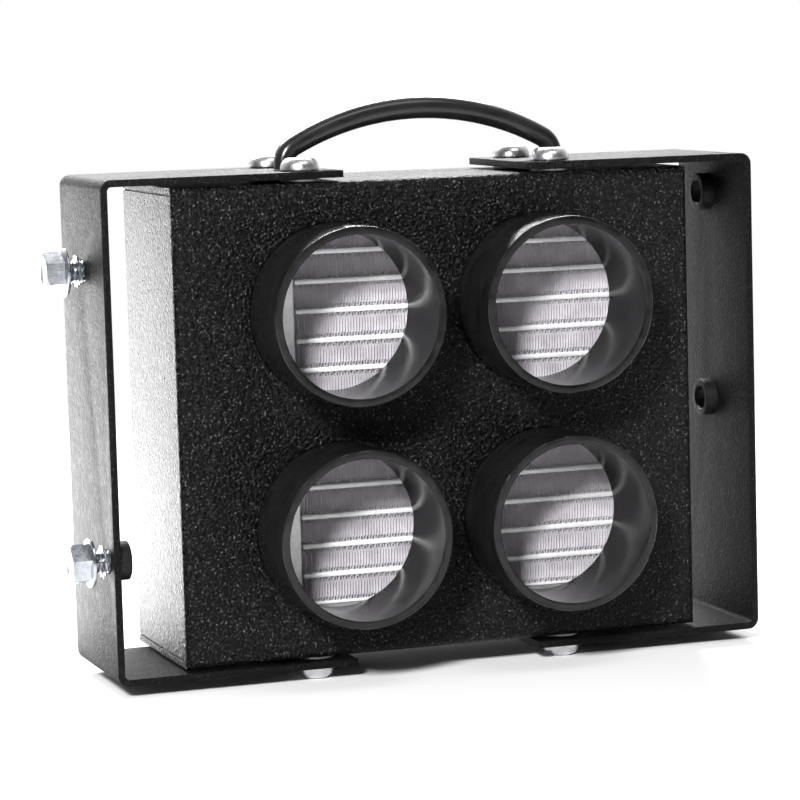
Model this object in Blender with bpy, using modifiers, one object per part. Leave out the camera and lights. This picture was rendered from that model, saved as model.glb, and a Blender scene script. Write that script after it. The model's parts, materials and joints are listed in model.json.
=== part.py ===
"""Boot dryer: a sheet-steel box that blows warm air out of four round collars.

Air enters through the guarded fan at the back, passes a brazed heater core and leaves
through the collars at the front. Two C-shaped brackets carry the box and take mounting bolts.
All sizes are in metres, with +X to the right, +Y to the back and +Z up. Pieces are placed from
the centre of the box's front face, and one empty carries them all to the standing origin.
"""

import math

import bmesh
import bpy
from mathutils import Matrix, Vector

# Driving dimensions: fits
CLEARANCE = 0.0003
HOLE_EASE = 0.0006

# Driving dimensions: folded box, which is as wide as the fan and the room beside it
FAN_SIZE = 0.120
FAN_SIDE_ROOM = 0.077
CASE_WIDTH = FAN_SIZE + FAN_SIDE_ROOM
CASE_HEIGHT = 0.171
CASE_DEPTH = 0.0664
CASE_SHEET = 0.0015
CASE_BEND = 0.003
CASE_RETURN = 0.012
CORNER_NOTCH = 0.002
COVER_SHEET = 0.0015
COVER_INSET = 0.002
COVER_CORNER = 0.004

# Driving dimensions: outlet collars
COLLAR_OUTER = 0.0635
COLLAR_WALL = 0.003
COLLAR_REACH = 0.0297
COLLAR_PITCH = 0.0787
COLLAR_LIP_WIDTH = 0.005
COLLAR_LIP = 0.0025

# Driving dimensions: brackets and what screws them to the box
BRACKET_STANDOFF = 0.02305
BRACKET_GAP = 0.00135
BRACKET_SHEET = 0.0025
BRACKET_BEND = 0.004
BRACKET_DEPTH = 0.0599
BRACKET_AHEAD = 0.0005
BRACKET_ARM = 0.089
SCREW_END_INSET = 0.01295
SCREW_ROWS = 0.039
SCREW_DIAMETER = 0.008
SCREW_LENGTH = 0.012
SCREW_HOLE_EASE = 0.001
BUTTON_WIDTH = 0.014
BUTTON_HEIGHT = 0.0044
BUTTON_FLAT = 0.0074
BUTTON_RIM = 0.0006
SOCKET_FLATS = 0.005
SOCKET_DEPTH = 0.0026
RIVET_NUT_WIDTH = 0.011
RIVET_NUT_FLANGE = 0.0135
RIVET_NUT_LENGTH = 0.009

# Driving dimensions: mounting bolts, their washers and the nuts welded inside the brackets
BOLT_FLATS = 0.013
BOLT_HEX_HEIGHT = 0.0062
BOLT_FLANGE = 0.0175
BOLT_FLANGE_RIM = 0.0012
BOLT_FLANGE_RISE = 0.0008
BOLT_LENGTH = 0.0125
BOLT_STANDS_OUT = 0.006
BOLT_TIP = 0.0008
WASHER_WIDTH = 0.0118
WASHER_ROOT = 0.0102
WASHER_THICKNESS = 0.0009
WASHER_TEETH = 10
WASHER_OFF = 0.0016
WELD_NUT_WIDTH = 0.014
WELD_NUT_HEIGHT = 0.0045
WELD_NUT_EDGE = 0.0006
LEFT_UPPER_BOLT = (0.0300, 0.0560)
LEFT_LOWER_BOLT = (0.0082, -0.0455)
RIGHT_UPPER_NUT = (0.0330, 0.0740)
RIGHT_LOWER_NUT = (0.0330, -0.0045)

# Driving dimensions: carry handle
HANDLE_SPAN = 0.104
HANDLE_RISE = 0.0204
HANDLE_DIAMETER = 0.0082
HANDLE_FOOT = 0.0072
HANDLE_FOOT_BEND = 0.0075
HANDLE_LEG = 0.0015
HANDLE_BEHIND_SCREWS = 0.0128
HANDLE_OFFSET = 0.002
HANDLE_SCREW = 0.003
HANDLE_SCREW_BITE = 0.0036
HANDLE_SCREW_HEAD = 0.0056
HANDLE_SCREW_HEAD_HEIGHT = 0.0022

# Driving dimensions: heater core
CORE_LIFT = 0.0022
TUBE_PITCH = 0.0106
TUBE_THICKNESS = 0.0018
FIN_PANELS = 6
FIN_SHEET = 0.0009
CORE_EDGE = 0.0009
TANK_WIDTH = 0.022
TANK_ROUND = 0.004
TANK_SHEET = 0.0016
TANK_OVERHANG = 0.0015
SERVICE_SPACE = 0.0210
TANK_SIDE_GAP = 0.0013
SIDE_PLATE = 0.0012
SIDE_PLATE_LIP = 0.0035
CORE_MOUNT_LENGTH = 0.060
CORE_MOUNT_WIDTH = 0.020
PIPE_OUTER = 0.016
PIPE_BORE = 0.0132
PIPE_BEAD = 0.0008
PIPE_REACH = 0.018
PIPE_SPREAD = 0.090

# Driving dimensions: fan
FAN_DEPTH = 0.025
FAN_RIM = 0.0025
FAN_BORE = FAN_SIZE - 2 * FAN_RIM
FAN_CORNER = 0.006
FAN_HOLE_INSET = 0.0075
FAN_HOLES = FAN_SIZE - 2 * FAN_HOLE_INSET
FAN_CORE_GAP = 0.0046
FAN_STRUT = 0.005
FAN_STRUT_DEPTH = 0.003
HUB_WIDTH = 0.042
HUB_WALL = 0.0015
BLADE_COUNT = 7
BLADE_SHEET = 0.0014
BLADE_TIP_GAP = 0.0012
BLADE_ROOT_RISE = 0.0145
BLADE_TIP_RISE = 0.0105
BLADE_SWEEP = math.radians(16)
BLADE_SPAN_ANGLE = math.radians(41)
BLADE_CAMBER = math.radians(5)
ROTOR_INSET = 0.0025
SHAFT = 0.003
BEARING_WALL = 0.0015
STATOR_GAP = 0.001
STATOR_LENGTH = 0.010
GUARD_WIRE = 0.002
GUARD_RINGS = 4
GUARD_STANDOFF = 0.0004
GUARD_EYE = 0.0042
SMALL_SCREW = 0.004
SMALL_SCREW_HEAD = 0.0076
SMALL_SCREW_HEAD_HEIGHT = 0.0026
FAN_SCREW_BITE = 0.012
COVER_SCREW_BITE = 0.006
COVER_SCREW_INSET = 0.006
GROMMET_LIP = 0.0025
GROMMET_WALL = 0.0022
CABLE_BORE = 0.0065

# Facets round turned pieces
COLLAR_SIDES = 32
ROUND_SIDES = 24
GUARD_SIDES = 16
SMALL_SIDES = 12
HOLE_SIDES = 10

# Worked-out places, measured from the centre of the front face
HALF_WIDTH = CASE_WIDTH / 2
HALF_HEIGHT = CASE_HEIGHT / 2
INNER_HALF_WIDTH = HALF_WIDTH - CASE_SHEET
INNER_HALF_HEIGHT = HALF_HEIGHT - CASE_SHEET
BRACKET_OUTER_X = HALF_WIDTH + BRACKET_STANDOFF + BRACKET_SHEET
BRACKET_INNER_X = BRACKET_OUTER_X - BRACKET_SHEET
SCREW_COLUMNS = 2 * (BRACKET_OUTER_X - BRACKET_ARM + SCREW_END_INSET)
BRACKET_INNER_Z = HALF_HEIGHT + BRACKET_GAP
BRACKET_OUTER_Z = BRACKET_INNER_Z + BRACKET_SHEET
BRACKET_MIDDLE_Y = BRACKET_DEPTH / 2 - BRACKET_AHEAD
SCREW_ROW_Y = (BRACKET_MIDDLE_Y - SCREW_ROWS / 2, BRACKET_MIDDLE_Y + SCREW_ROWS / 2)
HANDLE_Y = SCREW_ROW_Y[0] + HANDLE_BEHIND_SCREWS
HANDLE_FOOT_X = (HANDLE_OFFSET - HANDLE_SPAN / 2, HANDLE_OFFSET + HANDLE_SPAN / 2)

COLLAR_RADIUS = COLLAR_OUTER / 2
COLLAR_LIP_BACK = CASE_SHEET + CLEARANCE + COLLAR_LIP
CORE_FRONT = COLLAR_LIP_BACK + CLEARANCE
COVER_FRONT = CASE_DEPTH + CLEARANCE
COVER_BACK = COVER_FRONT + COVER_SHEET
FAN_BACK = COVER_FRONT - CLEARANCE
FAN_FRONT = FAN_BACK - FAN_DEPTH
CORE_DEPTH = FAN_FRONT - FAN_CORE_GAP - CORE_FRONT
CORE_MIDDLE_Y = CORE_FRONT + CORE_DEPTH / 2

CORE_LEFT = -INNER_HALF_WIDTH + SERVICE_SPACE + TANK_WIDTH + CLEARANCE
CORE_RIGHT = INNER_HALF_WIDTH - TANK_SIDE_GAP - TANK_WIDTH - CLEARANCE
CORE_WIDTH = CORE_RIGHT - CORE_LEFT
CORE_X = (CORE_LEFT + CORE_RIGHT) / 2
RIVET_NUT_INSIDE = RIVET_NUT_LENGTH - CASE_SHEET
CORE_MARGIN = RIVET_NUT_INSIDE + SIDE_PLATE_LIP + SIDE_PLATE + 2 * CLEARANCE
FIN_ROWS = int((2 * INNER_HALF_HEIGHT - 2 * CORE_MARGIN) / TUBE_PITCH)
CORE_HEIGHT = FIN_ROWS * TUBE_PITCH
PIPE_X = CORE_LEFT - CLEARANCE - TANK_WIDTH / 2
PIPE_Z = (CORE_LIFT + PIPE_SPREAD / 2, CORE_LIFT - PIPE_SPREAD / 2)
PIPE_END = COVER_BACK + PIPE_REACH
CABLE_REACH = CABLE_BORE / 2 + GROMMET_WALL + GROMMET_LIP
CABLE_EXIT = (
    HALF_WIDTH - CASE_RETURN - CLEARANCE - CABLE_REACH,
    CASE_RETURN + CLEARANCE + CABLE_REACH - HALF_HEIGHT,
)

# The object stands on its lower screw heads, under the middle of its overall box
BOLT_HEAD_HEIGHT = BOLT_FLANGE_RIM + BOLT_FLANGE_RISE + BOLT_HEX_HEIGHT
LEFT_REACH = BRACKET_OUTER_X + BOLT_STANDS_OUT + BOLT_HEAD_HEIGHT
FOOT_LEVEL = BRACKET_OUTER_Z + CLEARANCE + BUTTON_HEIGHT
STANDING_PLACE = Vector(
    ((LEFT_REACH - BRACKET_OUTER_X) / 2, (COLLAR_REACH - PIPE_END) / 2, FOOT_LEVEL)
)

FACE_FRONT = (math.pi / 2, 0, 0)
FACE_BACK = (-math.pi / 2, 0, 0)
FACE_UP = (0, 0, 0)
FACE_DOWN = (math.pi, 0, 0)
FACE_LEFT = (0, -math.pi / 2, 0)
FACE_RIGHT = (0, math.pi / 2, 0)
MERGE = 0.00001


def clear_scene():
    for old in list(bpy.data.objects):
        bpy.data.objects.remove(old)


clear_scene()
PARTS = bpy.data.collections.new("boot_dryer")
CUTTERS = bpy.data.collections.new("boot_dryer_cutters")
bpy.context.scene.collection.children.link(PARTS)
bpy.context.scene.collection.children.link(CUTTERS)
STAND = bpy.data.objects.new("standing_origin", None)
STAND.location = STANDING_PLACE
PARTS.objects.link(STAND)


def finish(name, colour, roughness, metallic):
    made = bpy.data.materials.new(name)
    made.use_nodes = True
    shader = made.node_tree.nodes["Principled BSDF"]
    shader.inputs["Base Color"].default_value = (*colour, 1)
    shader.inputs["Roughness"].default_value = roughness
    shader.inputs["Metallic"].default_value = metallic
    return made


TEXTURED_BLACK = ((0.012, 0.012, 0.013), 0.45, 0.0)
GLOSS_BLACK = ((0.01, 0.01, 0.011), 0.15, 0.0)
DULL_BLACK = ((0.02, 0.02, 0.022), 0.6, 0.0)
BRIGHT_STEEL = ((0.62, 0.62, 0.64), 0.25, 1.0)
ZINC = ((0.75, 0.76, 0.79), 0.2, 1.0)
ALUMINIUM = ((0.8, 0.8, 0.82), 0.35, 1.0)
RUBBER = ((0.015, 0.015, 0.015), 0.8, 0.0)
COPPER_RED = ((0.45, 0.16, 0.08), 0.4, 1.0)


def place(shape, looks, location=(0, 0, 0), rotation=FACE_UP):
    """Put a sub-part under the standing origin with a finish of its own."""
    PARTS.objects.link(shape)
    shape.parent = STAND
    shape.location = location
    shape.rotation_euler = rotation
    shape.data.materials.append(finish(shape.name + "_finish", *looks))
    return shape


def place_cutter(shape, location=(0, 0, 0), rotation=FACE_UP):
    CUTTERS.objects.link(shape)
    shape.parent = STAND
    shape.location = location
    shape.rotation_euler = rotation
    shape.hide_render = True
    shape.display_type = "WIRE"
    return shape


def boolean(shape, tool, operation):
    change = shape.modifiers.new(tool.name, "BOOLEAN")
    change.operation = operation
    change.object = tool


def cut(shape, *tools):
    for tool in tools:
        boolean(shape, tool, "DIFFERENCE")


def unite(shape, *tools):
    for tool in tools:
        boolean(shape, tool, "UNION")


def mesh_object(name, build):
    """An object whose mesh is filled by a function of its bmesh."""
    shape = bmesh.new()
    build(shape)
    mesh = bpy.data.meshes.new(name)
    shape.to_mesh(mesh)
    shape.free()
    return bpy.data.objects.new(name, mesh)


def shade_round(shape):
    shape.data.shade_smooth()
    shape.data.set_sharp_from_angle(angle=math.radians(35))


def block(name, size, round_edges=0.0, round_steps=2):
    """A box centred on its origin, with its edges rounded where asked."""

    def build(shape):
        bmesh.ops.create_cube(shape, size=1)
        bmesh.ops.scale(shape, vec=size, verts=shape.verts)

    made = mesh_object(name, build)
    if round_edges:
        bevel = made.modifiers.new("rounded", "BEVEL")
        bevel.width = round_edges
        bevel.segments = round_steps
    return made


def rod(name, diameter, length, sides=SMALL_SIDES):
    """A cylinder along Z that starts at its origin."""

    def build(shape):
        bmesh.ops.create_cone(
            shape, cap_ends=True, segments=sides,
            radius1=diameter / 2, radius2=diameter / 2, depth=length,
        )
        bmesh.ops.translate(shape, vec=(0, 0, length / 2), verts=shape.verts)

    return mesh_object(name, build)


def hex_prism(name, flats, length):
    return rod(name, flats / math.cos(math.pi / 6), length, 6)


def turned(name, profile, sides, closed):
    """Turn a profile of (radius, height) points about Z; a closed profile makes a ring."""

    def build(shape):
        corners = [shape.verts.new((radius, 0, height)) for radius, height in profile]
        for first, second in zip(corners, corners[1:]):
            shape.edges.new((first, second))
        if closed:
            shape.edges.new((corners[-1], corners[0]))

    made = mesh_object(name, build)
    screw = made.modifiers.new("turned", "SCREW")
    screw.axis = "Z"
    screw.steps = sides
    screw.render_steps = sides
    screw.use_merge_vertices = True
    screw.merge_threshold = MERGE
    screw.use_smooth_shade = False
    return made


def circle_points(diameter, sides, centre=(0, 0)):
    return [
        (
            centre[0] + diameter / 2 * math.cos(2 * math.pi * step / sides),
            centre[1] + diameter / 2 * math.sin(2 * math.pi * step / sides),
        )
        for step in range(sides)
    ]


def rounded_rectangle(width, height, corner, steps=3):
    """Points round a rectangle centred on zero, with arcs at its corners."""
    points = []
    for quarter, (side_x, side_y) in enumerate(((1, 1), (-1, 1), (-1, -1), (1, -1))):
        middle = (side_x * (width / 2 - corner), side_y * (height / 2 - corner))
        for step in range(steps + 1):
            angle = (quarter + step / steps) * math.pi / 2
            points.append(
                (middle[0] + corner * math.cos(angle), middle[1] + corner * math.sin(angle))
            )
    return points


def flat_plate(name, loops, thickness):
    """A flat outline with holes in the XY plane, thickened both ways along Z."""
    outline = bpy.data.curves.new(name, "CURVE")
    outline.dimensions = "2D"
    outline.fill_mode = "BOTH"
    outline.extrude = thickness / 2
    for loop in loops:
        spline = outline.splines.new("POLY")
        spline.points.add(len(loop) - 1)
        for point, (across, along) in zip(spline.points, loop):
            point.co = (across, along, 0, 1)
        spline.use_cyclic_u = True
    return bpy.data.objects.new(name, outline)


def as_mesh(curve):
    """Turn an unplaced curve object into a closed mesh object of the same name."""
    bpy.context.scene.collection.objects.link(curve)
    seen = curve.evaluated_get(bpy.context.evaluated_depsgraph_get())
    mesh = bpy.data.meshes.new_from_object(seen)
    name = curve.name
    bpy.data.objects.remove(curve)
    shape = bmesh.new()
    shape.from_mesh(mesh)
    bmesh.ops.remove_doubles(shape, verts=shape.verts, dist=MERGE)
    bmesh.ops.recalc_face_normals(shape, faces=shape.faces)
    shape.to_mesh(mesh)
    shape.free()
    mesh.name = name
    return bpy.data.objects.new(name, mesh)


def arc(centre, radius, start, end, steps):
    """Points on an arc in a plane, angles in degrees."""
    points = []
    for step in range(steps + 1):
        angle = math.radians(start + (end - start) * step / steps)
        points.append(
            (centre[0] + radius * math.cos(angle), centre[1] + radius * math.sin(angle))
        )
    return points


def drill(shape, name, diameter, reach, places, turn, sides=HOLE_SIDES):
    """Cut round holes through a sub-part at several places, each reaching both ways."""

    def build(tool):
        for spot in places:
            bmesh.ops.create_cone(
                tool, cap_ends=True, segments=sides,
                radius1=diameter / 2, radius2=diameter / 2, depth=2 * reach,
                matrix=Matrix.Translation(spot) @ turn,
            )

    cut(shape, place_cutter(mesh_object(name, build)))


ALONG_X = Matrix.Rotation(math.pi / 2, 4, "Y")
ALONG_Y = Matrix.Rotation(math.pi / 2, 4, "X")
ALONG_Z = Matrix.Identity(4)


def settle(shape):
    """Bake the modifiers of an unplaced piece into its mesh, so that copies can share its form."""
    return as_mesh(shape)


def copy_of(template, name):
    return bpy.data.objects.new(name, template.data.copy())


COLLAR_PLACES = {
    "top_left": (-COLLAR_PITCH / 2, 0, COLLAR_PITCH / 2),
    "top_right": (COLLAR_PITCH / 2, 0, COLLAR_PITCH / 2),
    "bottom_left": (-COLLAR_PITCH / 2, 0, -COLLAR_PITCH / 2),
    "bottom_right": (COLLAR_PITCH / 2, 0, -COLLAR_PITCH / 2),
}
SIDES = {"left": -1, "right": 1}
LEVELS = {"top": 1, "bottom": -1}
ROWS = {"front": SCREW_ROW_Y[0], "rear": SCREW_ROW_Y[1]}
SCREW_SPOTS = [
    (side * SCREW_COLUMNS / 2, row, level * BRACKET_OUTER_Z)
    for side in SIDES.values()
    for row in ROWS.values()
    for level in LEVELS.values()
]
COVER_SCREW_SPOTS = {
    f"{level_name}_{side_name}": (
        side * (HALF_WIDTH - COVER_SCREW_INSET), COVER_BACK,
        level * (HALF_HEIGHT - COVER_SCREW_INSET),
    )
    for level_name, level in LEVELS.items()
    for side_name, side in SIDES.items()
}
FAN_SCREW_SPOTS = {
    f"{level_name}_{side_name}": (
        CORE_X + side * FAN_HOLES / 2, COVER_BACK, CORE_LIFT + level * FAN_HOLES / 2,
    )
    for level_name, level in LEVELS.items()
    for side_name, side in SIDES.items()
}


def make_front_casing():
    """One sheet: front panel, four walls folded back and a narrow flange round the open back."""

    def build(shape):
        bmesh.ops.create_cube(shape, size=1)
        bmesh.ops.scale(shape, vec=(CASE_WIDTH, CASE_DEPTH, CASE_HEIGHT), verts=shape.verts)
        bmesh.ops.translate(shape, vec=(0, CASE_DEPTH / 2, 0), verts=shape.verts)
        shape.normal_update()
        back = [face for face in shape.faces if face.normal.y > 0.5]
        bmesh.ops.inset_region(shape, faces=back, thickness=CASE_RETURN)
        bmesh.ops.delete(shape, geom=back, context="FACES")
        front = [edge for edge in shape.edges if all(vert.co.y < MERGE for vert in edge.verts)]
        bmesh.ops.bevel(shape, geom=front, offset=CASE_BEND, segments=3, profile=0.5, affect="EDGES")

    casing = mesh_object("front_casing", build)
    sheet = casing.modifiers.new("sheet", "SOLIDIFY")
    sheet.thickness = CASE_SHEET
    sheet.offset = -1
    sheet.use_even_offset = True
    place(casing, TEXTURED_BLACK)

    def notches(tool):
        for side in SIDES.values():
            for level in LEVELS.values():
                corner = Matrix.Translation((side * HALF_WIDTH, 0, level * HALF_HEIGHT))
                bmesh.ops.create_cube(tool, size=2 * CORNER_NOTCH, matrix=corner)

    cut(casing, place_cutter(mesh_object("corner_reliefs", notches)))
    drill(
        casing, "collar_holes", COLLAR_OUTER + HOLE_EASE, 2 * CASE_SHEET,
        COLLAR_PLACES.values(), ALONG_Y, COLLAR_SIDES,
    )
    wall_spots = [(across, row, math.copysign(HALF_HEIGHT, up)) for across, row, up in SCREW_SPOTS]
    drill(
        casing, "rivet_nut_holes", RIVET_NUT_WIDTH + HOLE_EASE, 2 * CASE_SHEET, wall_spots, ALONG_Z,
        SMALL_SIDES,
    )
    handle_spots = [(across, HANDLE_Y, HALF_HEIGHT) for across in HANDLE_FOOT_X]
    drill(
        casing, "handle_holes_in_case", HANDLE_SCREW + HOLE_EASE, 2 * CASE_SHEET, handle_spots, ALONG_Z,
    )
    flange_spots = [(across, CASE_DEPTH, up) for across, _, up in COVER_SCREW_SPOTS.values()]
    drill(
        casing, "cover_holes_in_case", SMALL_SCREW + HOLE_EASE, 2 * CASE_SHEET, flange_spots, ALONG_Y,
    )


def make_rear_cover():
    """Flat back plate with the fan's intake and holes for pipes, cable and screws."""
    width = CASE_WIDTH - 2 * COVER_INSET
    height = CASE_HEIGHT - 2 * COVER_INSET
    loops = [rounded_rectangle(width, height, COVER_CORNER)]
    loops.append(circle_points(FAN_BORE, COLLAR_SIDES, (CORE_X, CORE_LIFT)))
    for up in PIPE_Z:
        loops.append(circle_points(grommet_hole(PIPE_OUTER + 2 * CLEARANCE), HOLE_SIDES, (PIPE_X, up)))
    loops.append(circle_points(grommet_hole(CABLE_BORE), HOLE_SIDES, CABLE_EXIT))
    for spots in (COVER_SCREW_SPOTS, FAN_SCREW_SPOTS):
        for across, _, up in spots.values():
            loops.append(circle_points(SMALL_SCREW + HOLE_EASE, HOLE_SIDES, (across, up)))
    cover = as_mesh(flat_plate("rear_cover", loops, COVER_SHEET))
    place(cover, TEXTURED_BLACK, (0, COVER_FRONT + COVER_SHEET / 2, 0), FACE_FRONT)


def grommet_hole(bore):
    return bore + 2 * GROMMET_WALL + 2 * CLEARANCE


def make_collars():
    """Four straight outlet tubes, each held by a lip behind the front panel."""
    inner = COLLAR_RADIUS - COLLAR_WALL
    lip = COLLAR_RADIUS + COLLAR_LIP_WIDTH
    seat = -CASE_SHEET - CLEARANCE
    profile = [
        (COLLAR_RADIUS, COLLAR_REACH),
        (COLLAR_RADIUS, seat),
        (lip, seat),
        (lip, -COLLAR_LIP_BACK),
        (inner, -COLLAR_LIP_BACK),
        (inner, COLLAR_REACH),
    ]
    for where, spot in COLLAR_PLACES.items():
        collar = settle(turned(f"outlet_collar_{where}", profile, COLLAR_SIDES, True))
        shade_round(collar)
        place(collar, GLOSS_BLACK, spot, FACE_FRONT)


def bracket_section(side):
    """Outline of a C-shaped bracket seen from the front, opening towards the box."""
    bend = BRACKET_BEND
    corner_x = BRACKET_OUTER_X - bend
    corner_z = BRACKET_OUTER_Z - bend
    arm_end = BRACKET_OUTER_X - BRACKET_ARM
    outer = [(arm_end, BRACKET_OUTER_Z)]
    outer += arc((corner_x, corner_z), bend, 90, 0, 4)
    outer += arc((corner_x, -corner_z), bend, 0, -90, 4)
    outer.append((arm_end, -BRACKET_OUTER_Z))
    inner = [(arm_end, -BRACKET_INNER_Z)]
    inner += arc((corner_x, -corner_z), bend - BRACKET_SHEET, -90, 0, 4)
    inner += arc((corner_x, corner_z), bend - BRACKET_SHEET, 0, 90, 4)
    inner.append((arm_end, BRACKET_INNER_Z))
    return [(side * across, up) for across, up in outer + inner]


WELD_NUT_SPOTS = {
    "left_upper": (-1, LEFT_UPPER_BOLT),
    "left_lower": (-1, LEFT_LOWER_BOLT),
    "right_upper": (1, RIGHT_UPPER_NUT),
    "right_lower": (1, RIGHT_LOWER_NUT),
}


def make_brackets():
    for side_name, side in SIDES.items():
        bracket = as_mesh(flat_plate(f"{side_name}_bracket", [bracket_section(side)], BRACKET_DEPTH))
        bracket.data.transform(Matrix.Translation((0, BRACKET_MIDDLE_Y, 0)) @ ALONG_Y)
        place(bracket, TEXTURED_BLACK)
        spots = [spot for spot in SCREW_SPOTS if spot[0] * side > 0]
        hole = SCREW_DIAMETER + SCREW_HOLE_EASE
        drill(bracket, f"{side_name}_screw_holes", hole, 2 * BRACKET_SHEET, spots, ALONG_Z)
        bolt_spots = [
            (side * BRACKET_OUTER_X, depth, up)
            for nut_side, (depth, up) in WELD_NUT_SPOTS.values()
            if nut_side == side
        ]
        drill(bracket, f"{side_name}_bolt_holes", hole, 2 * BRACKET_SHEET, bolt_spots, ALONG_X)
        foot_spot = [(across, HANDLE_Y, BRACKET_OUTER_Z) for across in HANDLE_FOOT_X if across * side > 0]
        drill(
            bracket, f"{side_name}_handle_hole", HANDLE_SCREW + HOLE_EASE, 2 * BRACKET_SHEET,
            foot_spot, ALONG_Z,
        )


def make_button_screws():
    """Domed screws with a hexagon socket; the object stands on the lower four."""
    flat = BUTTON_FLAT / 2
    rim = BUTTON_WIDTH / 2
    shank = SCREW_DIAMETER / 2
    dome = [
        (
            flat + (rim - flat) * math.sin(math.radians(angle)),
            BUTTON_RIM + (BUTTON_HEIGHT - BUTTON_RIM) * math.cos(math.radians(angle)),
        )
        for angle in (0, 50, 90)
    ]
    profile = [(0, BUTTON_HEIGHT), *dome, (rim, 0), (shank, 0), (shank, -SCREW_LENGTH), (0, -SCREW_LENGTH)]
    screw = turned("button_screw", profile, SMALL_SIDES, False)
    socket = hex_prism("socket", SOCKET_FLATS, 2 * SOCKET_DEPTH)
    socket.data.transform(Matrix.Translation((0, 0, BUTTON_HEIGHT - SOCKET_DEPTH)))
    cut(screw, place_cutter(socket, -STAND.location))
    screw = settle(screw)
    shade_round(screw)
    for level_name, level in LEVELS.items():
        for side_name, side in SIDES.items():
            for row_name, row in ROWS.items():
                spot = (side * SCREW_COLUMNS / 2, row, level * (BRACKET_OUTER_Z + CLEARANCE))
                name = f"bracket_screw_{level_name}_{side_name}_{row_name}"
                place(copy_of(screw, name), BRIGHT_STEEL, spot, FACE_UP if level > 0 else FACE_DOWN)
    bpy.data.objects.remove(screw)


def make_rivet_nuts():
    """Threaded inserts in the box walls; their flanges keep the brackets off the box."""
    body = RIVET_NUT_WIDTH / 2
    flange = RIVET_NUT_FLANGE / 2
    bore = (SCREW_DIAMETER + HOLE_EASE) / 2
    top = BRACKET_GAP - CLEARANCE
    profile = [
        (flange, top), (flange, CLEARANCE), (body, CLEARANCE), (body, -RIVET_NUT_LENGTH),
        (bore, -RIVET_NUT_LENGTH), (bore, top),
    ]
    nut = settle(turned("rivet_nut", profile, SMALL_SIDES, True))
    for level_name, level in LEVELS.items():
        for side_name, side in SIDES.items():
            for row_name, row in ROWS.items():
                spot = (side * SCREW_COLUMNS / 2, row, level * HALF_HEIGHT)
                name = f"rivet_nut_{level_name}_{side_name}_{row_name}"
                place(copy_of(nut, name), ZINC, spot, FACE_UP if level > 0 else FACE_DOWN)
    bpy.data.objects.remove(nut)


def make_mounting_bolts():
    """Two flanged hexagon bolts, part screwed out of the left bracket, with toothed washers."""
    shank = SCREW_DIAMETER / 2
    shoulder = BOLT_FLANGE_RIM + BOLT_FLANGE_RISE
    profile = [
        (0, shoulder), (BOLT_FLATS / 2, shoulder), (BOLT_FLANGE / 2, BOLT_FLANGE_RIM), (BOLT_FLANGE / 2, 0),
        (shank, 0), (shank, BOLT_TIP - BOLT_LENGTH), (shank - BOLT_TIP, -BOLT_LENGTH), (0, -BOLT_LENGTH),
    ]
    for where in ("upper", "lower"):
        _, (depth, up) = WELD_NUT_SPOTS[f"left_{where}"]
        bolt = turned(f"mounting_bolt_{where}", profile, SMALL_SIDES, False)
        head = hex_prism(f"hex_head_{where}", BOLT_FLATS, BOLT_HEX_HEIGHT + BOLT_FLANGE_RISE)
        head.data.transform(Matrix.Translation((0, 0, BOLT_FLANGE_RIM)))
        spot = (-BRACKET_OUTER_X - BOLT_STANDS_OUT, depth, up)
        place(bolt, ZINC, spot, FACE_LEFT)
        unite(bolt, place_cutter(head, spot, FACE_LEFT))
        washer = as_mesh(flat_plate(f"lock_washer_{where}", washer_loops(), WASHER_THICKNESS))
        rest = (-BRACKET_OUTER_X - WASHER_OFF - WASHER_THICKNESS / 2, depth, up)
        place(washer, ZINC, rest, FACE_LEFT)


def washer_loops():
    """A ring with square teeth round its outside."""
    teeth = []
    widths = (WASHER_WIDTH, WASHER_WIDTH, WASHER_ROOT, WASHER_ROOT)
    for step in range(WASHER_TEETH):
        for share, width in zip((-0.3, 0.3, 0.36, 0.64), widths):
            angle = 2 * math.pi * (step + share) / WASHER_TEETH
            teeth.append((width / 2 * math.cos(angle), width / 2 * math.sin(angle)))
    return [teeth, circle_points(SCREW_DIAMETER + HOLE_EASE, SMALL_SIDES)]


def make_weld_nuts():
    outer = WELD_NUT_WIDTH / 2
    bore = (SCREW_DIAMETER + HOLE_EASE) / 2
    profile = [
        (outer - WELD_NUT_EDGE, WELD_NUT_HEIGHT), (outer, WELD_NUT_HEIGHT - WELD_NUT_EDGE),
        (outer, 0), (bore, 0), (bore, WELD_NUT_HEIGHT),
    ]
    for where, (side, (depth, up)) in WELD_NUT_SPOTS.items():
        nut = settle(turned(f"weld_nut_{where}", profile, HOLE_SIDES, True))
        spot = (side * (BRACKET_INNER_X - CLEARANCE), depth, up)
        place(nut, TEXTURED_BLACK, spot, FACE_RIGHT if side < 0 else FACE_LEFT)


def handle_path():
    """A shallow arch whose feet turn straight down; the feet stand on zero height."""
    half = HANDLE_SPAN / 2
    bend = HANDLE_FOOT_BEND
    leg = HANDLE_LEG
    sweep = 2 * math.atan2(HANDLE_RISE - leg - bend, half - bend)
    reach = (half - bend) / math.sin(sweep)
    sweep_degrees = math.degrees(sweep)
    crown = arc((0, HANDLE_RISE - reach - bend), reach + bend, 90 + sweep_degrees, 90 - sweep_degrees, 12)
    left_foot = arc((bend - half, leg), bend, 180, 90 + sweep_degrees, 3)
    right_foot = arc((half - bend, leg), bend, 90 - sweep_degrees, 0, 3)
    return [(-half, 0), *left_foot[:-1], *crown, *right_foot[1:], (half, 0)]


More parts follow.
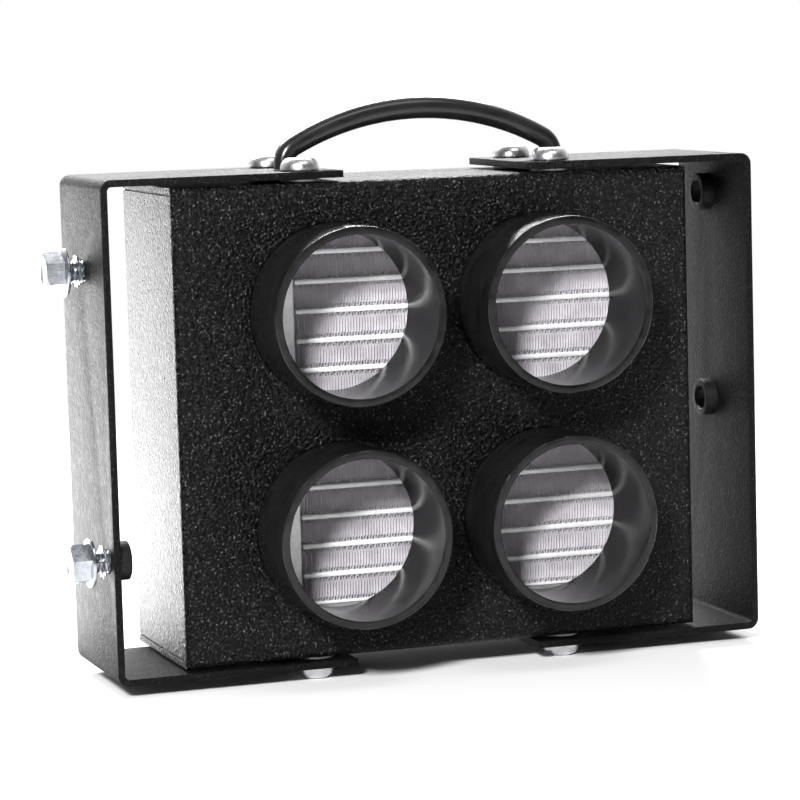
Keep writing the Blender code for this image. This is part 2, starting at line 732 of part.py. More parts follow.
def make_carry_handle():
    """A tapered arch screwed to both brackets from inside the box."""
    points = handle_path()
    curve = bpy.data.curves.new("carry_handle", "CURVE")
    curve.dimensions = "3D"
    curve.bevel_depth = HANDLE_DIAMETER / 2
    curve.bevel_resolution = 3
    curve.use_fill_caps = True
    spline = curve.splines.new("POLY")
    spline.points.add(len(points) - 1)
    slim = HANDLE_FOOT / HANDLE_DIAMETER
    for point, (across, up) in zip(spline.points, points):
        point.co = (across, 0, up, 1)
        point.radius = slim + (1 - slim) * math.cos(math.pi * across / HANDLE_SPAN)
    handle = as_mesh(bpy.data.objects.new("carry_handle", curve))
    shade_round(handle)
    seat = BRACKET_OUTER_Z + CLEARANCE
    place(handle, GLOSS_BLACK, (HANDLE_OFFSET, HANDLE_Y, seat))
    feet = [(across, HANDLE_Y, seat) for across in HANDLE_FOOT_X]
    drill(handle, "handle_bores", HANDLE_SCREW + HOLE_EASE, HANDLE_SCREW_BITE + CLEARANCE, feet, ALONG_Z)
    seat_inside = INNER_HALF_HEIGHT - CLEARANCE
    for side_name, across in zip(SIDES, HANDLE_FOOT_X):
        screw = plain_screw(
            f"handle_screw_{side_name}", HANDLE_SCREW, seat + HANDLE_SCREW_BITE - seat_inside,
            HANDLE_SCREW_HEAD, HANDLE_SCREW_HEAD_HEIGHT,
        )
        place(screw, ZINC, (across, HANDLE_Y, seat_inside), FACE_DOWN)


def plain_screw(name, diameter, length, head, head_height):
    """A pan-head screw along Z: its head stands above its origin and its shank hangs below."""
    profile = [
        (0, head_height), (head * 0.4, head_height), (head / 2, 0),
        (diameter / 2, 0), (diameter / 2, -length), (0, -length),
    ]
    screw = settle(turned(name, profile, HOLE_SIDES, False))
    shade_round(screw)
    return screw


def fin_windows():
    """Air passages of the core: the triangles left between folded fins and flat tubes."""
    left = CORE_EDGE - CORE_WIDTH / 2
    step = (CORE_WIDTH - 2 * CORE_EDGE) / FIN_PANELS
    windows = []
    for row in range(FIN_ROWS):
        low = row * TUBE_PITCH - CORE_HEIGHT / 2 + (TUBE_THICKNESS / 2 if row else CORE_EDGE)
        high = (row + 1) * TUBE_PITCH - CORE_HEIGHT / 2
        high -= TUBE_THICKNESS / 2 if row < FIN_ROWS - 1 else CORE_EDGE
        for fold in range(FIN_PANELS + 1):
            base, tip = (high, low) if (fold + row) % 2 else (low, high)
            middle = left + fold * step
            start = max(middle - step + FIN_SHEET, left)
            end = min(middle + step - FIN_SHEET, left + FIN_PANELS * step)
            windows.append([(start, base), (end, base), (middle, tip)])
    return windows


def make_core():
    """Brazed core: flat tubes and folded fins, a tank at each end and channels above and below."""
    border = [
        (-CORE_WIDTH / 2, -CORE_HEIGHT / 2), (CORE_WIDTH / 2, -CORE_HEIGHT / 2),
        (CORE_WIDTH / 2, CORE_HEIGHT / 2), (-CORE_WIDTH / 2, CORE_HEIGHT / 2),
    ]
    matrix = as_mesh(flat_plate("core_matrix", [border, *fin_windows()], CORE_DEPTH))
    place(matrix, ALUMINIUM, (CORE_X, CORE_MIDDLE_Y, CORE_LIFT), FACE_FRONT)
    tank_height = CORE_HEIGHT + 2 * TANK_OVERHANG
    for side_name, side in SIDES.items():
        tank = hollow_tank(f"{side_name}_tank", (TANK_WIDTH, CORE_DEPTH, tank_height), -side)
        across = CORE_X + side * (CORE_WIDTH / 2 + CLEARANCE + TANK_WIDTH / 2)
        place(tank, ALUMINIUM, (across, CORE_MIDDLE_Y, CORE_LIFT))
        if side < 0:
            ports = [(PIPE_X, CORE_FRONT + CORE_DEPTH, up) for up in PIPE_Z]
            drill(tank, "pipe_ports", PIPE_OUTER + HOLE_EASE, 2 * TANK_SHEET, ports, ALONG_Y, SMALL_SIDES)
    for level_name, level in LEVELS.items():
        seat = CORE_LIFT + level * (CORE_HEIGHT / 2 + CLEARANCE)
        outline = channel(CORE_DEPTH, SIDE_PLATE + SIDE_PLATE_LIP, level)
        plate = as_mesh(flat_plate(f"core_side_plate_{level_name}", [outline], CORE_WIDTH))
        place(plate, ALUMINIUM, (CORE_X, CORE_MIDDLE_Y, seat), ALONG_WIDTH)
        mount_seat = level * (INNER_HALF_HEIGHT - CLEARANCE)
        mount_height = abs(mount_seat - seat) - SIDE_PLATE - CLEARANCE
        outline = channel(CORE_MOUNT_WIDTH, mount_height, -level)
        mount = as_mesh(flat_plate(f"core_mount_{level_name}", [outline], CORE_MOUNT_LENGTH))
        place(mount, ALUMINIUM, (0, CORE_MIDDLE_Y, mount_seat), ALONG_WIDTH)


def hollow_tank(name, size, open_side):
    """A pressed cap with a rounded back, open on the side that meets the core."""

    def build(shape):
        bmesh.ops.create_cube(shape, size=1)
        bmesh.ops.scale(shape, vec=size, verts=shape.verts)
        shape.normal_update()
        mouth = [face for face in shape.faces if face.normal.x * open_side > 0.5]
        bmesh.ops.delete(shape, geom=mouth, context="FACES_ONLY")
        back = [edge for edge in shape.edges if all(vert.co.x * open_side < 0 for vert in edge.verts)]
        bmesh.ops.bevel(shape, geom=back, offset=TANK_ROUND, segments=2, profile=0.5, affect="EDGES")

    tank = mesh_object(name, build)
    sheet = tank.modifiers.new("sheet", "SOLIDIFY")
    sheet.thickness = TANK_SHEET
    sheet.offset = -1
    sheet.use_even_offset = True
    return tank


ALONG_WIDTH = (math.pi / 2, 0, math.pi / 2)


def channel(width, height, opens):
    """Section of a sheet channel: its web on zero height, its sides rising the way it opens."""
    half = width / 2
    sheet = SIDE_PLATE
    points = [
        (-half, 0), (half, 0), (half, height), (half - sheet, height),
        (half - sheet, sheet), (sheet - half, sheet), (sheet - half, height), (-half, height),
    ]
    return [(across, opens * up) for across, up in points]


def make_pipes():
    """Two hose stubs from the left tank, each leaving through a rubber grommet."""
    outer = PIPE_OUTER / 2
    start = CORE_FRONT + CORE_DEPTH - TANK_SHEET
    length = PIPE_END - start
    bead = 4 * PIPE_BEAD
    profile = [
        (outer, length), (outer, length - bead), (outer + PIPE_BEAD, length - 1.5 * bead),
        (outer, length - 2 * bead), (outer, 0), (PIPE_BORE / 2, 0), (PIPE_BORE / 2, length),
    ]
    for name, up in zip(("inlet", "outlet"), PIPE_Z):
        pipe = settle(turned(f"{name}_pipe", profile, HOLE_SIDES, True))
        shade_round(pipe)
        place(pipe, ALUMINIUM, (PIPE_X, start, up), FACE_BACK)
        seat = (PIPE_X, COVER_FRONT + COVER_SHEET / 2, up)
        place(grommet(f"{name}_grommet", PIPE_OUTER + 2 * CLEARANCE), RUBBER, seat, FACE_BACK)
    exit_spot = (CABLE_EXIT[0], COVER_FRONT + COVER_SHEET / 2, CABLE_EXIT[1])
    place(grommet("cable_grommet", CABLE_BORE), RUBBER, exit_spot, FACE_BACK)


def grommet(name, bore):
    """A rubber ring whose groove holds the edge of a hole in the rear cover."""
    inner = bore / 2
    groove = inner + GROMMET_WALL
    lip = groove + GROMMET_LIP
    half = COVER_SHEET / 2 + CLEARANCE
    face = half + GROMMET_WALL
    profile = [
        (lip, face), (lip, half), (groove, half), (groove, -half),
        (lip, -half), (lip, -face), (inner, -face), (inner, face),
    ]
    return settle(turned(name, profile, HOLE_SIDES, True))


FAN_PLACE = (CORE_X, FAN_BACK, CORE_LIFT)
DISC_FRONT = FAN_DEPTH - CLEARANCE
DISC_BACK = DISC_FRONT - FAN_STRUT_DEPTH
HUB_BACK = ROTOR_INSET
HUB_FRONT = DISC_BACK - STATOR_GAP
BEARING_RADIUS = SHAFT / 2 + CLEARANCE + BEARING_WALL
BEARING_BACK = HUB_BACK + HUB_WALL + 2 * STATOR_GAP
EMBED = 0.0004


def make_fan_frame():
    """Square moulded frame: a round duct, struts and the motor's bearing tube."""
    loops = [rounded_rectangle(FAN_SIZE, FAN_SIZE, FAN_CORNER), circle_points(FAN_BORE, ROUND_SIDES)]
    for across in (-FAN_HOLES / 2, FAN_HOLES / 2):
        for up in (-FAN_HOLES / 2, FAN_HOLES / 2):
            loops.append(circle_points(SMALL_SCREW + HOLE_EASE, HOLE_SIDES, (across, up)))
    frame = as_mesh(flat_plate("fan_frame", loops, FAN_DEPTH))
    frame.data.transform(Matrix.Translation((0, 0, FAN_DEPTH / 2)))
    place(frame, DULL_BLACK, FAN_PLACE, FACE_FRONT)
    disc = rod("fan_motor_disc", HUB_WIDTH, FAN_STRUT_DEPTH, ROUND_SIDES)
    disc.data.transform(Matrix.Translation((0, 0, DISC_BACK)))
    bearing = rod("fan_bearing_tube", 2 * BEARING_RADIUS, DISC_BACK + EMBED - BEARING_BACK)
    bearing.data.transform(Matrix.Translation((0, 0, BEARING_BACK)))
    tools = [disc, bearing]
    strut_start = HUB_WIDTH / 4
    strut_length = FAN_BORE / 2 + FAN_STRUT / 2 - strut_start
    for number in range(4):
        strut = block(f"fan_strut_{number}", (strut_length, FAN_STRUT, FAN_STRUT_DEPTH - 2 * EMBED))
        outward = Matrix.Translation((strut_start + strut_length / 2, 0, DISC_BACK + FAN_STRUT_DEPTH / 2))
        strut.data.transform(Matrix.Rotation(math.pi / 4 + number * math.pi / 2, 4, "Z") @ outward)
        tools.append(strut)
    unite(frame, *(place_cutter(tool, FAN_PLACE, FACE_FRONT) for tool in tools))
    bore = rod("fan_shaft_bore", SHAFT + 2 * CLEARANCE, DISC_BACK - BEARING_BACK)
    bore.data.transform(Matrix.Translation((0, 0, BEARING_BACK - EMBED)))
    cut(frame, place_cutter(bore, FAN_PLACE, FACE_FRONT))


def make_stator():
    """Motor winding pack on the bearing tube, inside the rotor's cup."""
    inner = BEARING_RADIUS + CLEARANCE
    outer = HUB_WIDTH / 2 - HUB_WALL - STATOR_GAP
    top = DISC_BACK - CLEARANCE
    low = top - STATOR_LENGTH
    profile = [(outer, top), (outer, low), (inner, low), (inner, top)]
    stator = settle(turned("fan_stator", profile, SMALL_SIDES, True))
    place(stator, COPPER_RED, FAN_PLACE, FACE_FRONT)


def blade_point(share_out, share_along, start):
    """A point on a fan blade, by its shares of the span and of the chord."""
    root = HUB_WIDTH / 2 - HUB_WALL / 2
    tip = FAN_BORE / 2 - BLADE_TIP_GAP
    radius = root + (tip - root) * share_out
    camber = BLADE_CAMBER * 4 * share_along * (1 - share_along)
    angle = start + BLADE_SWEEP * share_out + BLADE_SPAN_ANGLE * (share_along - 0.5) + camber
    rise = BLADE_ROOT_RISE + (BLADE_TIP_RISE - BLADE_ROOT_RISE) * share_out
    height = (HUB_BACK + HUB_FRONT) / 2 + rise * (share_along - 0.5)
    return (radius * math.cos(angle), radius * math.sin(angle), height)


def make_impeller():
    """Rotor cup with its shaft and swept blades, turning about the fan's axis."""
    outer = HUB_WIDTH / 2
    inner = outer - HUB_WALL
    floor = HUB_BACK + HUB_WALL
    shaft_end = DISC_BACK - 2 * STATOR_GAP
    profile = [
        (0, shaft_end), (SHAFT / 2, shaft_end), (SHAFT / 2, floor), (inner, floor), (inner, HUB_FRONT),
        (outer, HUB_FRONT), (outer, HUB_BACK + HUB_WALL), (inner, HUB_BACK), (0, HUB_BACK),
    ]
    impeller = turned("fan_impeller", profile, 4 * BLADE_COUNT, False)
    steps_out = 3
    steps_along = 3

    def blades(shape):
        for number in range(BLADE_COUNT):
            start = 2 * math.pi * number / BLADE_COUNT
            grid = [
                [shape.verts.new(blade_point(out / steps_out, along / steps_along, start))
                 for along in range(steps_along + 1)]
                for out in range(steps_out + 1)
            ]
            for near, far in zip(grid, grid[1:]):
                for step in range(steps_along):
                    shape.faces.new((near[step], far[step], far[step + 1], near[step + 1]))

    vanes = mesh_object("fan_blades", blades)
    thick = vanes.modifiers.new("sheet", "SOLIDIFY")
    thick.thickness = BLADE_SHEET
    thick.offset = 0
    place(impeller, DULL_BLACK, FAN_PLACE, FACE_FRONT)
    unite(impeller, place_cutter(vanes, FAN_PLACE, FACE_FRONT))


def make_guard():
    """Wire finger guard: round wires on four arms, each arm ending in an eye for a fan screw."""
    wire = GUARD_WIRE / 2
    arm_level = GUARD_STANDOFF + wire
    ring_level = arm_level + 1.3 * wire
    spot = (CORE_X, COVER_BACK, CORE_LIFT)

    def rings(shape):
        for number in range(GUARD_RINGS):
            radius = (FAN_BORE / 2 - GUARD_WIRE) * (number + 1.4) / (GUARD_RINGS + 0.4)
            loop = [
                shape.verts.new((radius + across, 0, ring_level + along))
                for across, along in reversed(circle_points(GUARD_WIRE, 4))
            ]
            for first, second in zip(loop, loop[1:] + loop[:1]):
                shape.edges.new((first, second))

    guard = mesh_object("finger_guard", rings)
    screw = guard.modifiers.new("turned", "SCREW")
    screw.steps = GUARD_SIDES
    screw.render_steps = GUARD_SIDES
    screw.use_merge_vertices = True
    screw.merge_threshold = MERGE
    guard = settle(guard)
    place(guard, GLOSS_BLACK, spot, FACE_BACK)
    corner = FAN_HOLES / math.sqrt(2)

    def arms(shape):
        for number in range(4):
            turn = Matrix.Rotation(math.pi / 4 + number * math.pi / 2, 4, "Z")
            inner_end = 2 * wire
            length = corner - GUARD_EYE + wire - inner_end
            middle = Matrix.Translation((inner_end + length / 2, 0, arm_level))
            bmesh.ops.create_cone(
                shape, cap_ends=True, segments=4, radius1=wire, radius2=wire, depth=length,
                matrix=turn @ middle @ ALONG_X,
            )

    def eyes(shape):
        for number in range(4):
            turn = Matrix.Rotation(math.pi / 4 + number * math.pi / 2, 4, "Z")
            spot_out = Matrix.Translation((corner, 0, arm_level))
            bmesh.ops.create_cone(
                shape, cap_ends=True, segments=HOLE_SIDES, radius1=GUARD_EYE, radius2=GUARD_EYE,
                depth=1.6 * wire, matrix=turn @ spot_out,
            )

    hub = rod("guard_hub", (FAN_BORE / 2) * 0.36, 1.6 * wire, SMALL_SIDES)
    hub.data.transform(Matrix.Translation((0, 0, arm_level - 0.8 * wire)))
    tools = [mesh_object("guard_arms", arms), mesh_object("guard_eyes", eyes), hub]
    unite(guard, *(place_cutter(tool, spot, FACE_BACK) for tool in tools))
    holes = [(across, COVER_BACK, up) for across, _, up in FAN_SCREW_SPOTS.values()]
    drill(guard, "guard_eye_holes", SMALL_SCREW + HOLE_EASE, 4 * GUARD_WIRE, holes, ALONG_Y)


def make_back_screws():
    """Screws through the guard and cover into the fan, and through the cover into the box."""
    eye_top = GUARD_STANDOFF + 1.8 * GUARD_WIRE / 2
    for where, (across, back, up) in FAN_SCREW_SPOTS.items():
        seat = eye_top + CLEARANCE
        screw = plain_screw(
            f"fan_screw_{where}", SMALL_SCREW, seat + COVER_SHEET + FAN_SCREW_BITE,
            SMALL_SCREW_HEAD, SMALL_SCREW_HEAD_HEIGHT,
        )
        place(screw, BRIGHT_STEEL, (across, back + seat, up), FACE_BACK)
    for where, (across, back, up) in COVER_SCREW_SPOTS.items():
        screw = plain_screw(
            f"cover_screw_{where}", SMALL_SCREW, CLEARANCE + COVER_SHEET + COVER_SCREW_BITE,
            SMALL_SCREW_HEAD, SMALL_SCREW_HEAD_HEIGHT,
        )
        place(screw, BRIGHT_STEEL, (across, back + CLEARANCE, up), FACE_BACK)


make_front_casing()
make_rear_cover()
make_collars()
make_brackets()
make_button_screws()
make_rivet_nuts()
make_mounting_bolts()
make_weld_nuts()
make_carry_handle()
make_core()
make_pipes()
make_fan_frame()
make_stator()
make_impeller()
make_guard()
make_back_screws()
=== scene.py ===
"""Looks of the boot dryer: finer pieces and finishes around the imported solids.

All sizes are in metres. Pieces are laid out from the centre of the box's front face, with +X to the
right, +Y to the back and +Z up, and are moved to their place in the frame as they are made.
"""

import json
import math

import bmesh
import bpy
from mathutils import Matrix, Vector


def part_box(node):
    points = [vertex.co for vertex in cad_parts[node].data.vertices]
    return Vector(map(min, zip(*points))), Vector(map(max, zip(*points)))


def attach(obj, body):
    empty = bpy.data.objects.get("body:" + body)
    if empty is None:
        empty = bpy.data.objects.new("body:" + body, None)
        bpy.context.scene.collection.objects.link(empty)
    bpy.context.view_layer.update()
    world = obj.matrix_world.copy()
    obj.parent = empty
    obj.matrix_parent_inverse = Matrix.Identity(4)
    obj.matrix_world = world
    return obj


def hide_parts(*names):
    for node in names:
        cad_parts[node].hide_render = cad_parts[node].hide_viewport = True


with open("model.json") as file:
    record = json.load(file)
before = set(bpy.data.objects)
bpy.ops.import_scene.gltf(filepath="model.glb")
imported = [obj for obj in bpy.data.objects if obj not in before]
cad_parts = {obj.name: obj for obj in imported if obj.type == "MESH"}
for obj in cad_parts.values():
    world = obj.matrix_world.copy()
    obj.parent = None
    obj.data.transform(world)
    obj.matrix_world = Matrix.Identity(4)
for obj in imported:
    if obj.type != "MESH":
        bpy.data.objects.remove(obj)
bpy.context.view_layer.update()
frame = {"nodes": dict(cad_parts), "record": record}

CASE_LOW, CASE_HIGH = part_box("front_casing")
FACE = Matrix.Translation(
    ((CASE_LOW[0] + CASE_HIGH[0]) / 2, CASE_LOW[1], (CASE_LOW[2] + CASE_HIGH[2]) / 2)
)
SLOT_OF = {entry["node"]: entry["material_slot"] for entry in frame["record"]["subparts"]}

# Sizes that the solids have too
CLEARANCE = 0.0003
HOLE_EASE = 0.0006
CASE_WIDTH = 0.197
CASE_HEIGHT = 0.171
CASE_DEPTH = 0.0664
CASE_SHEET = 0.0015
CASE_BEND = 0.003
CASE_RETURN = 0.012
CORNER_NOTCH = 0.002
COVER_SHEET = 0.0015
COVER_INSET = 0.002
COVER_CORNER = 0.004
COLLAR_RADIUS = 0.03175
COLLAR_WALL = 0.003
COLLAR_REACH = 0.0297
COLLAR_OFFSET = 0.03935
COLLAR_LIP_WIDTH = 0.005
COLLAR_SEAT = -0.0018
COLLAR_BACK = -0.0043
BRACKET_OUTER_X = 0.12405
BRACKET_OUTER_Z = 0.08935
BRACKET_INNER_Z = 0.08685
BRACKET_SHEET = 0.0025
BRACKET_BEND = 0.004
BRACKET_DEPTH = 0.0599
BRACKET_MIDDLE_Y = 0.02945
BRACKET_ARM = 0.089
SCREW_X = 0.048
SCREW_Y = {"front": 0.00995, "rear": 0.04895}
SCREW_RADIUS = 0.004
SCREW_LENGTH = 0.012
BUTTON_RADIUS = 0.007
BUTTON_HEIGHT = 0.0044
BUTTON_FLAT = 0.0037
BUTTON_RIM = 0.0006
SOCKET_FLATS = 0.005
SOCKET_DEPTH = 0.0026
RIVET_NUT_RADIUS = 0.0055
RIVET_NUT_FLANGE = 0.00675
RIVET_NUT_LENGTH = 0.009
RIVET_NUT_TOP = 0.00105
BOLT_FLATS = 0.013
BOLT_FLANGE = 0.00875
BOLT_FLANGE_RIM = 0.0012
BOLT_SHOULDER = 0.002
BOLT_HEAD = 0.0082
BOLT_LENGTH = 0.0125
BOLT_STANDS_OUT = 0.006
THREAD_PITCH = 0.00125
THREAD_DEPTH = 0.0005
WASHER_OFF = 0.0016
WASHER_TIP = 0.0059
WASHER_ROOT = 0.0051
WASHER_THICKNESS = 0.0009
WASHER_TEETH = 10
WELD_NUT_RADIUS = 0.007
WELD_NUT_HEIGHT = 0.0045
BOLT_SPOTS = {"upper": (0.0300, 0.0560), "lower": (0.0082, -0.0455)}
NUT_SPOTS = {
    "left_upper": (-1, 0.0300, 0.0560),
    "left_lower": (-1, 0.0082, -0.0455),
    "right_upper": (1, 0.0330, 0.0740),
    "right_lower": (1, 0.0330, -0.0045),
}
HANDLE_SPAN = 0.104
HANDLE_RISE = 0.0204
HANDLE_DIAMETER = 0.0082
HANDLE_FOOT = 0.0072
HANDLE_FOOT_BEND = 0.0075
HANDLE_LEG = 0.0015
HANDLE_PLACE = (0.002, 0.02275, 0.08965)
CORE_LEFT = -0.0537
CORE_RIGHT = 0.0734
CORE_FRONT = 0.0046
CORE_BACK = 0.0368
CORE_LIFT = 0.0022
CORE_ROWS = 13
TUBE_PITCH = 0.0106
TUBE_THICKNESS = 0.0018
CORE_EDGE = 0.0009
PIPE_X = -0.065
PIPE_Z = {"inlet": 0.0472, "outlet": -0.0428}
PIPE_RADIUS = 0.008
PIPE_BORE = 0.0066
PIPE_BEAD = 0.0008
PIPE_START = 0.0352
PIPE_END = 0.0862
COVER_FRONT = 0.0667
COVER_BACK = 0.0682
CABLE_BORE = 0.00325
CABLE_EXIT = (0.07825, -0.06525)
GROMMET_WALL = 0.0022
GROMMET_LIP = 0.0025
FAN_X = 0.00985
FAN_SIZE = 0.120
FAN_DEPTH = 0.025
FAN_BACK = 0.0664
FAN_BORE = 0.0575
FAN_CORNER = 0.006
FAN_HOLE = 0.0525
FAN_STRUT = 0.005
DISC_FRONT = 0.0247
DISC_BACK = 0.0217
HUB_RADIUS = 0.021
HUB_WALL = 0.0015
HUB_BACK = 0.0025
HUB_FRONT = 0.0207
SHAFT_RADIUS = 0.0015
BEARING_RADIUS = 0.0033
BEARING_BACK = 0.006
BLADE_COUNT = 7
BLADE_SHEET = 0.0014
BLADE_TIP_GAP = 0.0012
GUARD_WIRE = 0.001
GUARD_RINGS = (0.01766, 0.03027, 0.04289, 0.0555)
GUARD_ARM_LEVEL = 0.0014
GUARD_RING_LEVEL = 0.0027
GUARD_EYE = 0.0042
GUARD_HUB = 0.01035
GUARD_PLATE = 0.0016
SMALL_RADIUS = 0.002
SMALL_HEAD = 0.0038
SMALL_HEAD_HEIGHT = 0.0026
COVER_SCREW = (0.0925, 0.0795)

# Sizes of what only the scene shows
EDGE = 0.0003
SEAM_WIDTH = 0.0008
SEAM_DEPTH = 0.0006
SEAM_DROP = 0.0026
TUBE_BULGE = 0.0004
END_RECESS = 0.002
LOUVRE_SHARES = (0.15, 0.19, 0.81, 0.85)
BOLT_TURNS = {"upper": math.radians(30), "lower": math.radians(15)}
FIN_FOLDS = 116
FIN_SHEET = 0.00016
FIN_SLANT = 0.0005
FIN_SLANT_DEPTH = 0.0016
FIN_RECESS = 0.0003
FAN_BITE = 0.012
COVER_BITE = 0.006
DOME_SHARES = (0.2, 0.4, 0.55, 0.68, 0.8, 0.89, 0.95)
RECESS_OVER = 0.001
RECESS_DEPTH = 0.0013
RECESS_MOUTH = (0.0021, 0.0005)
RECESS_FLOOR = (0.0009, 0.00035)
TOOTH_SHARE = 0.62
TOOTH_TWIST = 0.0005
FINE_SIDES = 72
COLLAR_SIDES = 144
TINY = 1e-7

FRONT = Matrix.Rotation(math.pi / 2, 4, "X")
BACK = Matrix.Rotation(-math.pi / 2, 4, "X")
UP = Matrix.Identity(4)
DOWN = Matrix.Rotation(math.pi, 4, "X")
LEFT = Matrix.Rotation(-math.pi / 2, 4, "Y")
RIGHT = Matrix.Rotation(math.pi / 2, 4, "Y")
SIDES = {"left": -1, "right": 1}
LEVELS = {"top": 1, "bottom": -1}


# Finishes

def add(tree, kind, inputs=None, **settings):
    """A shader node with its settings; an input takes a socket or a value."""
    made = tree.nodes.new(kind)
    for key, value in settings.items():
        setattr(made, key, value)
    for key, value in (inputs or {}).items():
        if isinstance(value, bpy.types.NodeSocket):
            tree.links.new(value, made.inputs[key])
        else:
            made.inputs[key].default_value = value
    return made


class Finish:
    """A procedural material that is built up from textures in object space."""

    def __init__(self, name, **sockets):
        self.material = bpy.data.materials.new(name)
        self.material.use_nodes = True
        self.tree = self.material.node_tree
        self.shader = self.tree.nodes["Principled BSDF"]
        self.place = add(self.tree, "ShaderNodeTexCoord").outputs["Object"]
        for key, value in sockets.items():
            self.shader.inputs[key.replace("_", " ").title().replace("Ior", "IOR")].default_value = value

    def stretched(self, scale):
        """Object coordinates stretched by a factor for each axis."""
        return add(self.tree, "ShaderNodeMapping", {"Vector": self.place, "Scale": scale}).outputs[0]

    def noise(self, scale, detail=3.0, rough=0.55, place=None, warp=0.0):
        inputs = {
            "Vector": place or self.place, "Scale": scale, "Detail": detail,
            "Roughness": rough, "Distortion": warp,
        }
        return add(self.tree, "ShaderNodeTexNoise", inputs).outputs["Fac"]

    def cells(self, scale, smooth=0.6):
        inputs = {"Vector": self.place, "Scale": scale, "Smoothness": smooth}
        return add(self.tree, "ShaderNodeTexVoronoi", inputs, feature="SMOOTH_F1").outputs["Distance"]

    def ramp(self, factor, stops):
        """A colour ramp from (position, grey or colour) stops."""
        made = add(self.tree, "ShaderNodeValToRGB", {"Fac": factor})
        elements = made.color_ramp.elements
        while len(elements) < len(stops):
            elements.new(0.5)
        for element, (position, colour) in zip(elements, stops):
            element.position = position
            tint = colour if isinstance(colour, tuple) else (colour, colour, colour)
            element.color = (*tint, 1)
        return made.outputs["Color"]

    def sum(self, first, second, share):
        inputs = {0: second, 1: share, 2: first}
        return add(self.tree, "ShaderNodeMath", inputs, operation="MULTIPLY_ADD").outputs[0]

    def tint(self, factor, stops):
        self.tree.links.new(self.ramp(factor, stops), self.shader.inputs["Base Color"])
        return self

    def gloss(self, factor, low, high):
        self.tree.links.new(self.ramp(factor, [(0.3, low), (0.7, high)]), self.shader.inputs["Roughness"])
        return self

    def bump(self, height, depth, strength=1.0):
        inputs = {"Height": height, "Distance": depth, "Strength": strength}
        made = add(self.tree, "ShaderNodeBump", inputs)
        self.tree.links.new(made.outputs["Normal"], self.shader.inputs["Normal"])
        return self


def powder_coat(name, grain, depth, tones, gloss, shine):
    """Black powder coat: fine wrinkles, with a little dust caught between them."""
    made = Finish(name, specular_ior_level=shine)
    wrinkle = made.noise(grain, 4, 0.6, warp=0.4)
    lumps = made.sum(wrinkle, made.cells(grain * 0.9), -0.5)
    made.tint(made.noise(grain * 1.5, 1), [(0.54, tones[0]), (0.64, tones[1]), (0.76, tones[2])])
    made.gloss(made.sum(made.noise(grain * 0.4, 3), wrinkle, 0.3), *gloss)
    return made.bump(lumps, depth).material


def gloss_plastic(name, tones, gloss, streak, depth, shine=0.5):
    """Shiny black plastic with faint streaks from drawing and handling."""
    made = Finish(name, specular_ior_level=shine)
    streaks = made.noise(1.0, 4, 0.6, made.stretched(streak))
    smears = made.noise(70, 4, 0.65)
    made.tint(made.sum(streaks, smears, 0.5), [(0.5, tones[0]), (0.95, tones[1])])
    made.gloss(made.sum(smears, streaks, 0.4), *gloss)
    return made.bump(made.sum(streaks, made.noise(900, 3), 0.3), depth).material


def sawn_rim(name):
    """Cut end of a plastic tube: pale scuffs across a dark ground."""
    made = Finish(name)
    scuffs = made.noise(1.0, 5, 0.7, made.stretched((1500, 300, 700)), 0.6)
    broad = made.noise(220, 3)
    made.tint(made.sum(scuffs, broad, 0.45), [(0.54, 0.03), (0.72, 0.24), (0.88, 0.6)])
    made.gloss(scuffs, 0.3, 0.6)
    return made.bump(scuffs, 0.00022).material


def metal(name, tones, gloss, grain, depth, streak=None, bare=1.0):
    """Plated or bare metal with cloudy tone, uneven gloss and a fine grain."""
    made = Finish(name, metallic=bare)
    cloud = made.noise(grain, 4, 0.6)
    lines = made.noise(1.0, 4, 0.6, made.stretched(streak)) if streak else made.noise(grain * 6, 3)
    made.tint(made.sum(cloud, lines, 0.4), [(0.45, tones[0]), (0.7, tones[1]), (0.9, tones[2])])
    made.gloss(made.sum(cloud, lines, 0.5), *gloss)
    return made.bump(lines, depth).material


def matt(name, tones, gloss, grain, depth):
    """Moulded plastic or rubber with a fine matt grain."""
    made = Finish(name)
    cloud = made.noise(80, 4, 0.6)
    fine = made.noise(grain, 3, 0.6)
    made.tint(made.sum(cloud, fine, 0.4), [(0.5, tones[0]), (0.9, tones[1])])
    made.gloss(made.sum(cloud, fine, 0.4), *gloss)
    return made.bump(fine, depth).material


def winding(name):
    """Varnished copper wire laid round the fan's axis."""
    made = Finish(name, metallic=1.0)
    bands = {"Vector": made.place, "Scale": 420.0, "Distortion": 1.2, "Detail": 2.0}
    wires = add(made.tree, "ShaderNodeTexWave", bands, bands_direction="Y").outputs["Fac"]
    made.tint(wires, [(0.1, (0.12, 0.03, 0.012)), (0.7, (0.5, 0.17, 0.07)), (1.0, (0.62, 0.26, 0.12))])
    made.gloss(made.noise(200, 3), 0.25, 0.5)
    return made.bump(wires, 0.0003).material


